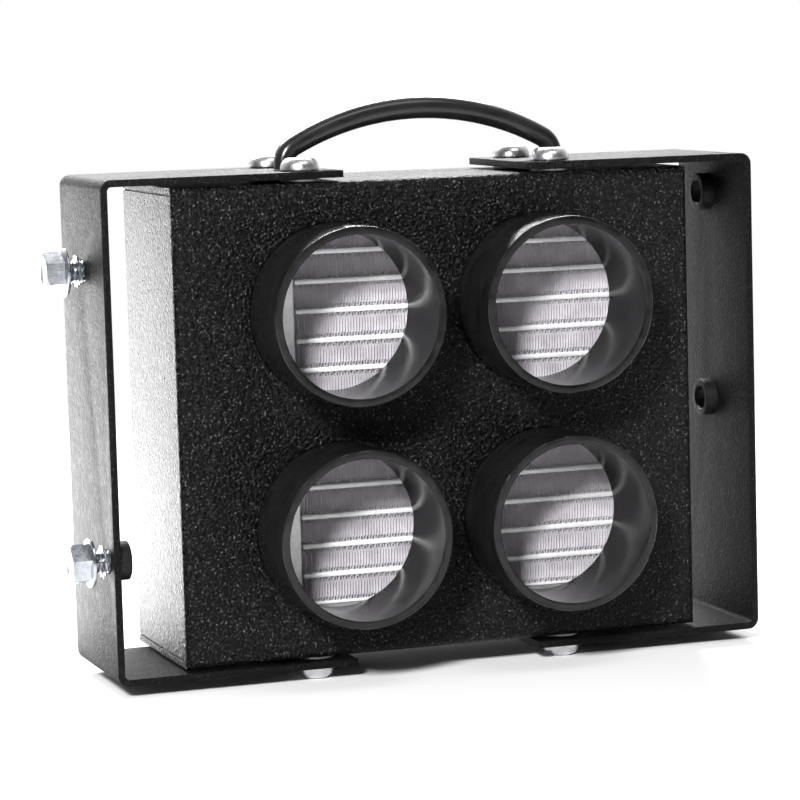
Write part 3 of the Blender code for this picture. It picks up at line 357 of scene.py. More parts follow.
LOOKS = {
    "box_coating": powder_coat("box_coating", 820, 0.0011, (0.001, 0.007, 0.1), (0.16, 0.34), 0.13),
    "bracket_coating": powder_coat("bracket_coating", 1100, 0.0005, (0.002, 0.005, 0.024), (0.38, 0.52), 0.1),
    "coated_nut": powder_coat("coated_nut", 1500, 0.00016, (0.003, 0.005, 0.014), (0.36, 0.54), 0.3),
    "collar_plastic": gloss_plastic(
        "collar_plastic", (0.002, 0.012), (0.06, 0.2), (90, 700, 90), 0.00006, 0.26,
    ),
    "handle_plastic": gloss_plastic(
        "handle_plastic", (0.004, 0.014), (0.12, 0.24), (40, 220, 220), 0.00002,
    ),
    "bright_screw": metal(
        "bright_screw", ((0.5, 0.5, 0.52), (0.68, 0.68, 0.7), (0.8, 0.8, 0.8)), (0.12, 0.3), 350, 0.00004,
    ),
    "small_screw": metal(
        "small_screw", ((0.4, 0.4, 0.42), (0.56, 0.56, 0.58), (0.7, 0.7, 0.7)), (0.2, 0.4), 500, 0.00004,
    ),
    "zinc_bolt": metal(
        "zinc_bolt", ((0.36, 0.39, 0.44), (0.5, 0.53, 0.57), (0.64, 0.65, 0.66)), (0.08, 0.22), 420, 0.00005,
    ),
    "zinc_insert": metal(
        "zinc_insert", ((0.4, 0.41, 0.43), (0.55, 0.56, 0.57), (0.66, 0.66, 0.64)), (0.3, 0.5), 500, 0.00005,
    ),
    "core_fins": metal(
        "core_fins", ((0.56, 0.53, 0.57), (0.7, 0.67, 0.71), (0.8, 0.78, 0.81)), (0.3, 0.5), 160, 0.00003,
        bare=0.15,
    ),
    "core_frame": metal(
        "core_frame", ((0.6, 0.6, 0.61), (0.75, 0.75, 0.76), (0.86, 0.86, 0.86)), (0.32, 0.55), 240, 0.00006,
    ),
    "pipe": metal(
        "pipe", ((0.62, 0.62, 0.63), (0.76, 0.76, 0.77), (0.86, 0.86, 0.86)), (0.25, 0.45), 150, 0.00004,
        (900, 60, 900),
    ),
    "grommet_rubber": matt("grommet_rubber", (0.008, 0.03), (0.6, 0.85), 900, 0.0001),
    "fan_plastic": matt("fan_plastic", (0.012, 0.03), (0.42, 0.6), 1400, 0.00006),
    "motor_iron": winding("motor_iron"),
    "guard_wire": gloss_plastic("guard_wire", (0.01, 0.035), (0.2, 0.38), (300, 300, 300), 0.00004),
}
RIM_LOOK = sawn_rim("collar_sawn_rim")
TUBE_LOOK = metal(
    "core_tube", ((0.78, 0.78, 0.8), (0.88, 0.88, 0.89), (0.95, 0.95, 0.95)), (0.28, 0.45), 200, 0.00003,
    (60, 900, 900), bare=0.2,
)


# Shapes

def at(spot, turn=UP):
    return Matrix.Translation(spot) @ turn


def circle(radius, height, sides):
    angles = [2 * math.pi * step / sides for step in range(sides)]
    return [Vector((radius * math.cos(angle), radius * math.sin(angle), height)) for angle in angles]


def skin(shape, rings, closed=False, looks=None):
    """Faces between neighbouring rings of points; a ring of one point is a tip."""
    made = [[shape.verts.new(point) for point in points] for points in rings]
    pairs = list(zip(made, made[1:]))
    if closed:
        pairs.append((made[-1], made[0]))
    for number, (near, far) in enumerate(pairs):
        count = max(len(near), len(far))
        for step in range(count):
            after = (step + 1) % count
            corners = [
                near[step % len(near)], near[after % len(near)],
                far[after % len(far)], far[step % len(far)],
            ]
            face = shape.faces.new(list(dict.fromkeys(corners)))
            if looks:
                face.material_index = looks[number]


def thin_sheet(shape, rings):
    """A closed sheet from rings that run along its one face and back along the other."""
    made = [[shape.verts.new(point) for point in ring] for ring in rings]
    count = len(rings[0])
    for near, far in zip(made, made[1:]):
        for step in range(count):
            after = (step + 1) % count
            shape.faces.new((near[step], near[after], far[after], far[step]))
    for ring in (made[0], made[-1]):
        for step in range(count // 2 - 1):
            back = count - 1 - step
            shape.faces.new((ring[step], ring[step + 1], ring[back - 1], ring[back]))


def lathe(shape, profile, place, sides=FINE_SIDES, closed=True, looks=None):
    """Turn (radius, height) points about the Z axis of a place; an open profile starts and ends on it."""
    rings = []
    for radius, height in profile:
        points = circle(radius, height, sides) if radius > TINY else [Vector((0, 0, height))]
        rings.append([place @ point for point in points])
    skin(shape, rings, closed, looks)


def arc(centre, radius, start, end, steps):
    """Points on an arc in a plane, angles in degrees."""
    angles = [math.radians(start + (end - start) * step / steps) for step in range(steps + 1)]
    return [(centre[0] + radius * math.cos(a), centre[1] + radius * math.sin(a)) for a in angles]


def hex_radius(flats, angle):
    sector = math.pi / 3
    return flats / 2 / math.cos((angle + sector / 2) % sector - sector / 2)


def hex_ring(flats, height, grow=0.0):
    """Points round a hexagon; height may be a function of the radius."""
    points = []
    for step in range(FINE_SIDES):
        angle = 2 * math.pi * step / FINE_SIDES
        radius = hex_radius(flats, angle) + grow
        level = height(radius) if callable(height) else height
        points.append(Vector((radius * math.cos(angle), radius * math.sin(angle), level)))
    return points


def loose(name, build):
    """An unplaced mesh object, filled by a function of its bmesh."""
    shape = bmesh.new()
    build(shape)
    bmesh.ops.recalc_face_normals(shape, faces=shape.faces)
    mesh = bpy.data.meshes.new(name)
    shape.to_mesh(mesh)
    shape.free()
    made = bpy.data.objects.new(name, mesh)
    bpy.context.scene.collection.objects.link(made)
    return made


def bake(made):
    """Fix an object's modifiers in its mesh."""
    graph = bpy.context.evaluated_depsgraph_get()
    mesh = bpy.data.meshes.new_from_object(made.evaluated_get(graph), depsgraph=graph)
    old = made.data
    made.modifiers.clear()
    if made.type == "MESH":
        made.data = mesh
        return made
    name = made.name
    bpy.data.objects.remove(made)
    bpy.data.curves.remove(old)
    fresh = bpy.data.objects.new(name, mesh)
    bpy.context.scene.collection.objects.link(fresh)
    return fresh


def plate(name, loops, thickness, place):
    """A flat outline with holes, thickened both ways along the place's Z axis."""
    outline = bpy.data.curves.new(name, "CURVE")
    outline.dimensions = "2D"
    outline.fill_mode = "BOTH"
    outline.extrude = thickness / 2
    for points in loops:
        spline = outline.splines.new("POLY")
        spline.points.add(len(points) - 1)
        for point, (across, along) in zip(spline.points, points):
            point.co = (across, along, 0, 1)
        spline.use_cyclic_u = True
    made = bpy.data.objects.new(name, outline)
    bpy.context.scene.collection.objects.link(made)
    made = bake(made)
    shape = bmesh.new()
    shape.from_mesh(made.data)
    bmesh.ops.remove_doubles(shape, verts=shape.verts, dist=0.00001)
    bmesh.ops.transform(shape, matrix=place, verts=shape.verts)
    bmesh.ops.recalc_face_normals(shape, faces=shape.faces)
    shape.to_mesh(made.data)
    shape.free()
    return made


def carve(made, tool, operation="DIFFERENCE"):
    """Combine an object with a tool made by a function, and discard the tool."""
    other = loose("tool", tool)
    change = made.modifiers.new("carve", "BOOLEAN")
    change.operation = operation
    change.object = other
    change.solver = "EXACT"
    made = bake(made)
    spent = other.data
    bpy.data.objects.remove(other)
    bpy.data.meshes.remove(spent)
    return made


def soften(made, width=EDGE, steps=2, angle=40):
    """Break an object's sharp edges."""
    bevel = made.modifiers.new("edges", "BEVEL")
    bevel.width = width
    bevel.segments = steps
    bevel.limit_method = "ANGLE"
    bevel.angle_limit = math.radians(angle)
    bevel.use_clamp_overlap = True
    return bake(made)


def dress(made, looks, body="dryer", nodes=(), sharp=32):
    """Move a finished shape to the frame, give it its finishes and its body, and hide the nodes it stands
    for.
    """
    made.data.transform(FACE)
    made.data.shade_smooth()
    made.data.set_sharp_from_angle(angle=math.radians(sharp))
    made.data.materials.clear()
    for look in looks:
        made.data.materials.append(look)
    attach(made, body)
    if nodes:
        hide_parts(*nodes)
    return made


def stand_for(node, build, body="dryer", looks=None, sharp=32):
    """A piece built in bmesh that stands for one node of the solids."""
    made = loose(f"{node}_look", build)
    return dress(made, looks or [LOOKS[SLOT_OF[node]]], body, [node], sharp=sharp)


def drill(radius, reach, places, sides=48):
    """A tool of round rods, each centred on its place."""

    def build(shape):
        for place in places:
            lathe(shape, [(0, -reach), (radius, -reach), (radius, reach), (0, reach)], place, sides, False)

    return build


def flat_circle(radius, centre, sides=64):
    return [(centre[0] + p.x, centre[1] + p.y) for p in circle(radius, 0, sides)]


def rounded_rectangle(width, height, corner, steps=8):
    points = []
    for quarter, (side_x, side_y) in enumerate(((1, 1), (-1, 1), (-1, -1), (1, -1))):
        middle = (side_x * (width / 2 - corner), side_y * (height / 2 - corner))
        points += arc(middle, corner, 90 * quarter, 90 * quarter + 90, steps)
    return points


# Box

COLLAR_SPOTS = {
    f"{level_name}_{side_name}": (side * COLLAR_OFFSET, 0, level * COLLAR_OFFSET)
    for level_name, level in LEVELS.items()
    for side_name, side in SIDES.items()
}
SCREW_PLACES = {
    f"{level_name}_{side_name}_{row_name}": (side * SCREW_X, row, level)
    for level_name, level in LEVELS.items()
    for side_name, side in SIDES.items()
    for row_name, row in SCREW_Y.items()
}


def front_casing():
    half_width = CASE_WIDTH / 2
    half_height = CASE_HEIGHT / 2

    def shell(shape):
        size = Matrix.Diagonal((CASE_WIDTH, CASE_DEPTH, CASE_HEIGHT, 1))
        bmesh.ops.create_cube(shape, size=1, matrix=at((0, CASE_DEPTH / 2, 0)) @ size)
        shape.normal_update()
        back = [face for face in shape.faces if face.normal.y > 0.5]
        bmesh.ops.inset_region(shape, faces=back, thickness=CASE_RETURN)
        bmesh.ops.delete(shape, geom=back, context="FACES")
        front = [edge for edge in shape.edges if all(vert.co.y < TINY for vert in edge.verts)]
        bmesh.ops.bevel(shape, geom=front, offset=CASE_BEND, segments=8, profile=0.5, affect="EDGES")

    made = loose("front_casing_look", shell)
    sheet = made.modifiers.new("sheet", "SOLIDIFY")
    sheet.thickness = CASE_SHEET
    sheet.offset = -1
    sheet.use_even_offset = True
    made = bake(made)

    def notches(shape):
        for side in SIDES.values():
            for level in LEVELS.values():
                corner = at((side * half_width, 0, level * half_height))
                bmesh.ops.create_cube(shape, size=2 * CORNER_NOTCH, matrix=corner)

    made = carve(made, notches)

    def seams(shape):
        for side in SIDES.values():
            for level in LEVELS.values():
                spot = (side * half_width, CASE_DEPTH / 2 + CORNER_NOTCH, level * (half_height - SEAM_DROP))
                size = Matrix.Diagonal((2 * SEAM_DEPTH, CASE_DEPTH, SEAM_WIDTH, 1))
                bmesh.ops.create_cube(shape, size=1, matrix=at(spot) @ size)

    outlets = [at(spot, FRONT) for spot in COLLAR_SPOTS.values()]
    made = carve(made, drill(COLLAR_RADIUS + HOLE_EASE / 2, 2 * CASE_SHEET, outlets, COLLAR_SIDES))
    inserts = [at((x, y, level * half_height)) for x, y, level in SCREW_PLACES.values()]
    made = carve(made, drill(RIVET_NUT_RADIUS + HOLE_EASE / 2, 2 * CASE_SHEET, inserts))
    made = carve(soften(made), seams)
    dress(made, [LOOKS["box_coating"]], nodes=["front_casing"])


def rear_cover():
    loops = [rounded_rectangle(CASE_WIDTH - 2 * COVER_INSET, CASE_HEIGHT - 2 * COVER_INSET, COVER_CORNER)]
    loops.append(flat_circle(FAN_BORE, (FAN_X, CORE_LIFT), COLLAR_SIDES))
    hole = PIPE_RADIUS + CLEARANCE + GROMMET_WALL + CLEARANCE
    loops += [flat_circle(hole, (PIPE_X, up)) for up in PIPE_Z.values()]
    loops.append(flat_circle(CABLE_BORE + GROMMET_WALL + CLEARANCE, CABLE_EXIT))
    for across, _, up in list(COVER_SCREW_SPOTS.values()) + list(FAN_SCREW_SPOTS.values()):
        loops.append(flat_circle(SMALL_RADIUS + HOLE_EASE / 2, (across, up), 32))
    middle = (COVER_FRONT + COVER_BACK) / 2
    made = soften(plate("rear_cover_look", loops, COVER_SHEET, at((0, middle, 0), FRONT)))
    dress(made, [LOOKS["box_coating"]], nodes=["rear_cover"])


def collars():
    """Straight glossy tubes whose sawn ends are slightly uneven."""
    inner = COLLAR_RADIUS - COLLAR_WALL
    lip = COLLAR_RADIUS + COLLAR_LIP_WIDTH
    profile = [
        (lip, COLLAR_BACK), (lip, COLLAR_SEAT), (COLLAR_RADIUS, COLLAR_SEAT),
        (COLLAR_RADIUS, COLLAR_REACH - 0.0007), (COLLAR_RADIUS - 0.0001, COLLAR_REACH - 0.0003),
        (COLLAR_RADIUS - 0.0004, COLLAR_REACH - 0.00005), (COLLAR_RADIUS - 0.0012, COLLAR_REACH),
        (inner + 0.0009, COLLAR_REACH), (inner + 0.0003, COLLAR_REACH - 0.00008),
        (inner + 0.00006, COLLAR_REACH - 0.0003), (inner, COLLAR_REACH - 0.0008), (inner, COLLAR_BACK),
    ]
    rim_bands = [1 if 4 <= number <= 8 else 0 for number in range(len(profile))]
    for number, (where, spot) in enumerate(COLLAR_SPOTS.items()):
        def build(shape, spot=spot, phase=1.7 * number):
            rings = []
            for radius, height in profile:
                points = circle(radius, height, COLLAR_SIDES)
                if height > COLLAR_REACH - 0.0004:
                    for step, point in enumerate(points):
                        angle = 2 * math.pi * step / COLLAR_SIDES
                        wave = math.sin(9 * angle + phase) + math.sin(23 * angle + 2 * phase)
                        point.z -= 0.00004 * (2 + wave)
                rings.append([at(spot, FRONT) @ point for point in points])
            skin(shape, rings, True, rim_bands)

        stand_for(f"outlet_collar_{where}", build, looks=[LOOKS["collar_plastic"], RIM_LOOK])


def brackets():
    corner_x = BRACKET_OUTER_X - BRACKET_BEND
    corner_z = BRACKET_OUTER_Z - BRACKET_BEND
    arm_end = BRACKET_OUTER_X - BRACKET_ARM
    inside = BRACKET_BEND - BRACKET_SHEET
    outline = [(arm_end, BRACKET_OUTER_Z)]
    outline += arc((corner_x, corner_z), BRACKET_BEND, 90, 0, 10)
    outline += arc((corner_x, -corner_z), BRACKET_BEND, 0, -90, 10)
    outline += [(arm_end, -BRACKET_OUTER_Z), (arm_end, -BRACKET_INNER_Z)]
    outline += arc((corner_x, -corner_z), inside, -90, 0, 10)
    outline += arc((corner_x, corner_z), inside, 0, 90, 10)
    outline.append((arm_end, BRACKET_INNER_Z))
    hole = SCREW_RADIUS + 0.0005
    for side_name, side in SIDES.items():
        section = [(side * across, up) for across, up in outline]
        name = f"{side_name}_bracket"
        made = plate(f"{name}_look", [section], BRACKET_DEPTH, at((0, BRACKET_MIDDLE_Y, 0), FRONT))
        screws = [
            at((x, y, level * BRACKET_OUTER_Z)) for x, y, level in SCREW_PLACES.values() if x * side > 0
        ]
        made = carve(made, drill(hole, 2 * BRACKET_SHEET, screws))
        bolts = [
            at((side * BRACKET_OUTER_X, depth, up), RIGHT)
            for nut_side, depth, up in NUT_SPOTS.values() if nut_side == side
        ]
        made = carve(made, drill(hole, 2 * BRACKET_SHEET, bolts))
        made = soften(made, 0.0004, 3)
        dress(made, [LOOKS["bracket_coating"]], nodes=[name])


# Screws, bolts and nuts

def button_screw(shape, place):
    dome = [
        (
            BUTTON_FLAT + (BUTTON_RADIUS - BUTTON_FLAT) * math.sin(math.radians(angle)),
            BUTTON_RIM + (BUTTON_HEIGHT - BUTTON_RIM) * math.cos(math.radians(angle)),
        )
        for angle in range(90, -1, -9)
    ]
    tip = 0.0006
    profile = [
        (0, -SCREW_LENGTH), (SCREW_RADIUS - tip, -SCREW_LENGTH), (SCREW_RADIUS, tip - SCREW_LENGTH),
        (SCREW_RADIUS, 0), (BUTTON_RADIUS - 0.0002, 0), (BUTTON_RADIUS, 0.0002), *dome,
    ]
    rings = []
    for radius, height in profile:
        rings.append(circle(radius, height, FINE_SIDES) if radius > TINY else [Vector((0, 0, height))])
    floor = BUTTON_HEIGHT - SOCKET_DEPTH
    rings.append(hex_ring(SOCKET_FLATS, BUTTON_HEIGHT, 0.0003))
    rings.append(hex_ring(SOCKET_FLATS, BUTTON_HEIGHT - 0.0003))
    rings.append(hex_ring(SOCKET_FLATS, floor))
    rings.append(circle(SOCKET_FLATS * 0.42, floor - 0.0001, FINE_SIDES))
    rings.append([Vector((0, 0, floor - 0.0009))])
    skin(shape, [[place @ point for point in points] for points in rings])


def bracket_screws():
    for number, (where, (x, y, level)) in enumerate(SCREW_PLACES.items()):
        seat = level * (BRACKET_OUTER_Z + CLEARANCE)
        turn = (UP if level > 0 else DOWN) @ Matrix.Rotation(0.5 * number, 4, "Z")
        stand_for(f"bracket_screw_{where}", lambda shape, p=at((x, y, seat), turn): button_screw(shape, p))
        bore = SCREW_RADIUS + HOLE_EASE / 2
        profile = [
            (RIVET_NUT_FLANGE - 0.0002, RIVET_NUT_TOP), (RIVET_NUT_FLANGE, RIVET_NUT_TOP - 0.0002),
            (RIVET_NUT_FLANGE, CLEARANCE), (RIVET_NUT_RADIUS, CLEARANCE),
            (RIVET_NUT_RADIUS, 0.0005 - RIVET_NUT_LENGTH), (RIVET_NUT_RADIUS - 0.0005, -RIVET_NUT_LENGTH),
            (bore, -RIVET_NUT_LENGTH), (bore, RIVET_NUT_TOP),
        ]
        place = at((x, y, level * CASE_HEIGHT / 2), UP if level > 0 else DOWN)
        stand_for(f"rivet_nut_{where}", lambda shape, p=place, f=profile: lathe(shape, f, p, 48))


def threaded_rod(shape, length, place, start):
    """A rod with a helical thread, from a little above its seat down to its tip."""
    sides = 48
    steps = 8
    rows = round((length + start) / THREAD_PITCH * steps)
    rings = [[Vector((0, 0, start))]]
    for row in range(rows + 1):
        height = start - (length + start) * row / rows
        run_out = min(1.0, (length + height) / 0.0012)
        points = []
        for step in range(sides):
            angle = 2 * math.pi * step / sides
            phase = (height / THREAD_PITCH + step / sides) % 1
            groove = THREAD_DEPTH * (0.5 - 0.5 * math.cos(2 * math.pi * phase)) ** 0.8
            radius = (SCREW_RADIUS - groove) * (0.86 + 0.14 * run_out)
            points.append(Vector((radius * math.cos(angle), radius * math.sin(angle), height)))
        rings.append(points)
    rings.append([Vector((0, 0, -length))])
    skin(shape, [[place @ point for point in points] for points in rings])


def flange_bolt(shape, place):
    """Flanged hexagon head with a chamfered, slightly dished end, over a threaded shank."""
    rim = BOLT_FLANGE
    across = BOLT_FLATS / 2
    crown = across * 0.95

    def cone(radius):
        share = (rim - radius) / (rim - across)
        return BOLT_FLANGE_RIM + (BOLT_SHOULDER - BOLT_FLANGE_RIM) * share

    def chamfer(radius):
        return BOLT_HEAD - max(0.0, radius - crown) * 0.6

    rings = [
        [Vector((0, 0, 0))],
        circle(rim - 0.0003, 0, FINE_SIDES),
        circle(rim, 0.0003, FINE_SIDES),
        circle(rim, BOLT_FLANGE_RIM - 0.0003, FINE_SIDES),
        circle(rim - 0.0003, cone(rim - 0.0003), FINE_SIDES),
        hex_ring(BOLT_FLATS, lambda radius: cone(radius) - 0.00005, 0.0002),
        hex_ring(BOLT_FLATS, lambda radius: cone(radius) + 0.0003),
        hex_ring(BOLT_FLATS, chamfer),
        circle(crown, BOLT_HEAD, FINE_SIDES),
        circle(crown * 0.72, BOLT_HEAD, FINE_SIDES),
        circle(crown * 0.6, BOLT_HEAD - 0.0004, FINE_SIDES),
        [Vector((0, 0, BOLT_HEAD - 0.0006))],
    ]
    skin(shape, [[place @ point for point in points] for points in rings])
    threaded_rod(shape, BOLT_LENGTH, place, 0.0004)


def lock_washer(shape, place):
    """A ring whose teeth are twisted out of its plane."""
    per_tooth = 10
    total = WASHER_TEETH * per_tooth
    bore = SCREW_RADIUS + HOLE_EASE / 2
    half = WASHER_THICKNESS / 2
    outer_top, outer_low, inner_top, inner_low = [], [], [], []
    for step in range(total):
        angle = 2 * math.pi * step / total
        share = (step % per_tooth) / per_tooth
        tooth = share < TOOTH_SHARE
        radius = WASHER_TIP if tooth else WASHER_ROOT
        twist = (share / TOOTH_SHARE - 0.5) * TOOTH_TWIST if tooth else 0.0
        aim = Vector((math.cos(angle), math.sin(angle), 0))
        thin = half - 0.00025 if tooth else half - 0.0001
        outer_top.append(aim * radius + Vector((0, 0, thin + twist)))
        outer_low.append(aim * radius + Vector((0, 0, twist - thin)))
        inner_top.append(aim * bore + Vector((0, 0, half - 0.0001)))
        inner_low.append(aim * bore + Vector((0, 0, 0.0001 - half)))
    rings = (inner_top, outer_top, outer_low, inner_low)
    skin(shape, [[place @ point for point in points] for points in rings], True)


def mounting_bolts():
    for where, (depth, up) in BOLT_SPOTS.items():
        turned = LEFT @ Matrix.Rotation(BOLT_TURNS[where], 4, "Z")
        place = at((-BRACKET_OUTER_X - BOLT_STANDS_OUT, depth, up), turned)
        stand_for(f"mounting_bolt_{where}", lambda shape, p=place: flange_bolt(shape, p), f"{where}_bolt")
        rest = at((-BRACKET_OUTER_X - WASHER_OFF - WASHER_THICKNESS / 2, depth, up), LEFT)
        stand_for(f"lock_washer_{where}", lambda shape, p=rest: lock_washer(shape, p))
    bore = SCREW_RADIUS + HOLE_EASE / 2
    outer = WELD_NUT_RADIUS
    profile = [
        (outer - 0.0006, WELD_NUT_HEIGHT), (outer - 0.00018, WELD_NUT_HEIGHT - 0.00018),
        (outer, WELD_NUT_HEIGHT - 0.0006), (outer, 0), (bore, 0),
        (bore, WELD_NUT_HEIGHT - 0.0005), (bore + 0.0005, WELD_NUT_HEIGHT),
    ]
    for where, (side, depth, up) in NUT_SPOTS.items():
        seat = side * (BRACKET_OUTER_X - BRACKET_SHEET - CLEARANCE)
        place = at((seat, depth, up), RIGHT if side < 0 else LEFT)
        stand_for(f"weld_nut_{where}", lambda shape, p=place: lathe(shape, profile, p))


COVER_SCREW_SPOTS = {
    f"{level_name}_{side_name}": (side * COVER_SCREW[0], COVER_BACK + CLEARANCE, level * COVER_SCREW[1])
    for level_name, level in LEVELS.items()
    for side_name, side in SIDES.items()
}
GUARD_SEAT = COVER_BACK + GUARD_ARM_LEVEL + GUARD_PLATE / 2 + CLEARANCE
FAN_SCREW_SPOTS = {
    f"{level_name}_{side_name}": (FAN_X + side * FAN_HOLE, GUARD_SEAT, CORE_LIFT + level * FAN_HOLE)
    for level_name, level in LEVELS.items()
    for side_name, side in SIDES.items()
}


def pan_screw(length):
    """A pan-head screw along Z with a cross recess, ready to be copied to each place."""
    head = SMALL_HEAD
    top = SMALL_HEAD_HEIGHT
    dome = [(head * share, top * (1 - share ** 4)) for share in DOME_SHARES]
    profile = [(0, top), *dome, (head, top * 0.1), (head, 0), (SMALL_RADIUS, 0)]
    profile += [(SMALL_RADIUS, 0.0008 - length), (SMALL_RADIUS - 0.0007, -length), (0, -length)]
    made = loose("pan_screw", lambda shape: lathe(shape, profile, UP, 48, False))

    def arm(shape, turn):
        spin = Matrix.Rotation(turn, 4, "Z")
        rings = []
        above = top + RECESS_OVER
        below = top - RECESS_DEPTH
        for height, (reach, width) in ((above, RECESS_MOUTH), (below, RECESS_FLOOR)):
            corners = ((reach, width), (-reach, width), (-reach, -width), (reach, -width))
            rings.append([spin @ Vector((x, y, height)) for x, y in corners])
        skin(shape, [[Vector((0, 0, above))], *rings, [Vector((0, 0, below))]])

    made = carve(made, lambda shape: arm(shape, 0))
    return carve(made, lambda shape: arm(shape, math.pi / 2))


def back_screws():
    guard_bite = GUARD_SEAT - COVER_BACK + COVER_SHEET + FAN_BITE
    cover_bite = CLEARANCE + COVER_SHEET + COVER_BITE
    for kind, spots, length in (
        ("fan", FAN_SCREW_SPOTS, guard_bite), ("cover", COVER_SCREW_SPOTS, cover_bite),
    ):
        template = pan_screw(length)
        for number, (where, spot) in enumerate(spots.items()):
            node = f"{kind}_screw_{where}"
            made = bpy.data.objects.new(f"{node}_look", template.data.copy())
            bpy.context.scene.collection.objects.link(made)
            made.data.transform(at(spot, BACK @ Matrix.Rotation(0.7 * number, 4, "Z")))
            dress(made, [LOOKS[SLOT_OF[node]]], nodes=[node])
        spent = template.data
        bpy.data.objects.remove(template)
        bpy.data.meshes.remove(spent)


# Handle

def carry_handle():
    half = HANDLE_SPAN / 2
    bend = HANDLE_FOOT_BEND
    sweep = 2 * math.atan2(HANDLE_RISE - HANDLE_LEG - bend, half - bend)
    reach = (half - bend) / math.sin(sweep)
    tilt = math.degrees(sweep)
    path = [(-half, 0), (-half, HANDLE_LEG / 2)]
    path += arc((bend - half, HANDLE_LEG), bend, 180, 90 + tilt, 12)[:-1]
    path += arc((0, HANDLE_RISE - reach - bend), reach + bend, 90 + tilt, 90 - tilt, 48)
    path += arc((half - bend, HANDLE_LEG), bend, 90 - tilt, 0, 12)[1:]
    path += [(half, HANDLE_LEG / 2), (half, 0)]

    def build(shape):
        rings = []
        sides = 32
        for number, (across, up) in enumerate(path):
            before = path[max(number - 1, 0)]
            after = path[min(number + 1, len(path) - 1)]
            along = Vector((after[0] - before[0], 0, after[1] - before[1])).normalized()
            outward = Vector((-along.z, 0, along.x))
            crown = math.cos(math.pi * across / HANDLE_SPAN)
            radius = (HANDLE_FOOT + (HANDLE_DIAMETER - HANDLE_FOOT) * crown) / 2
            middle = Vector((across, 0, up))
            points = []
            for step in range(sides):
                angle = 2 * math.pi * step / sides
                side = math.copysign(abs(math.sin(angle)) ** 0.92, math.sin(angle))
                rise = math.copysign(abs(math.cos(angle)) ** 0.92, math.cos(angle))
                points.append(at(HANDLE_PLACE) @ (
                    middle + outward * rise * radius + Vector((0, side * radius * (1 + 0.06 * crown), 0))
                ))
            rings.append(points)
        ends = [[at(HANDLE_PLACE) @ Vector((x, 0, 0))] for x in (-half, half)]
        skin(shape, [ends[0], *rings, ends[1]])

    stand_for("carry_handle", build, sharp=40)


# Heater core

def rounded_bar(shape, low, high, bulge):
    """A bar along X whose front and back edges bulge a little."""
    middle = (low[2] + high[2]) / 2
    half = (high[2] - low[2]) / 2
    front = [(low[1] + bulge * (1 + x), half * y) for x, y in arc((0, 0), 1, 270, 90, 8)]
    back = [(high[1] - bulge * (1 - x), half * y) for x, y in arc((0, 0), 1, 90, -90, 8)]
    rings = []
    for across in (low[0], high[0]):
        rings.append([Vector((across, depth, middle + up)) for depth, up in front + back])
    ends = [[Vector((ring[0].x, (low[1] + high[1]) / 2, middle))] for ring in rings]
    skin(shape, [ends[0], *rings, ends[1]])


def plain_bar(shape, low, high):
    middle = [(a + b) / 2 for a, b in zip(low, high)]
    size = [b - a for a, b in zip(low, high)]
    bmesh.ops.create_cube(shape, size=1, matrix=at(middle) @ Matrix.Diagonal((*size, 1)))


def core_levels():
    """Heights of the tube middles, from the lowest edge to the highest."""
    return [CORE_LIFT + (row - CORE_ROWS / 2) * TUBE_PITCH for row in range(CORE_ROWS + 1)]


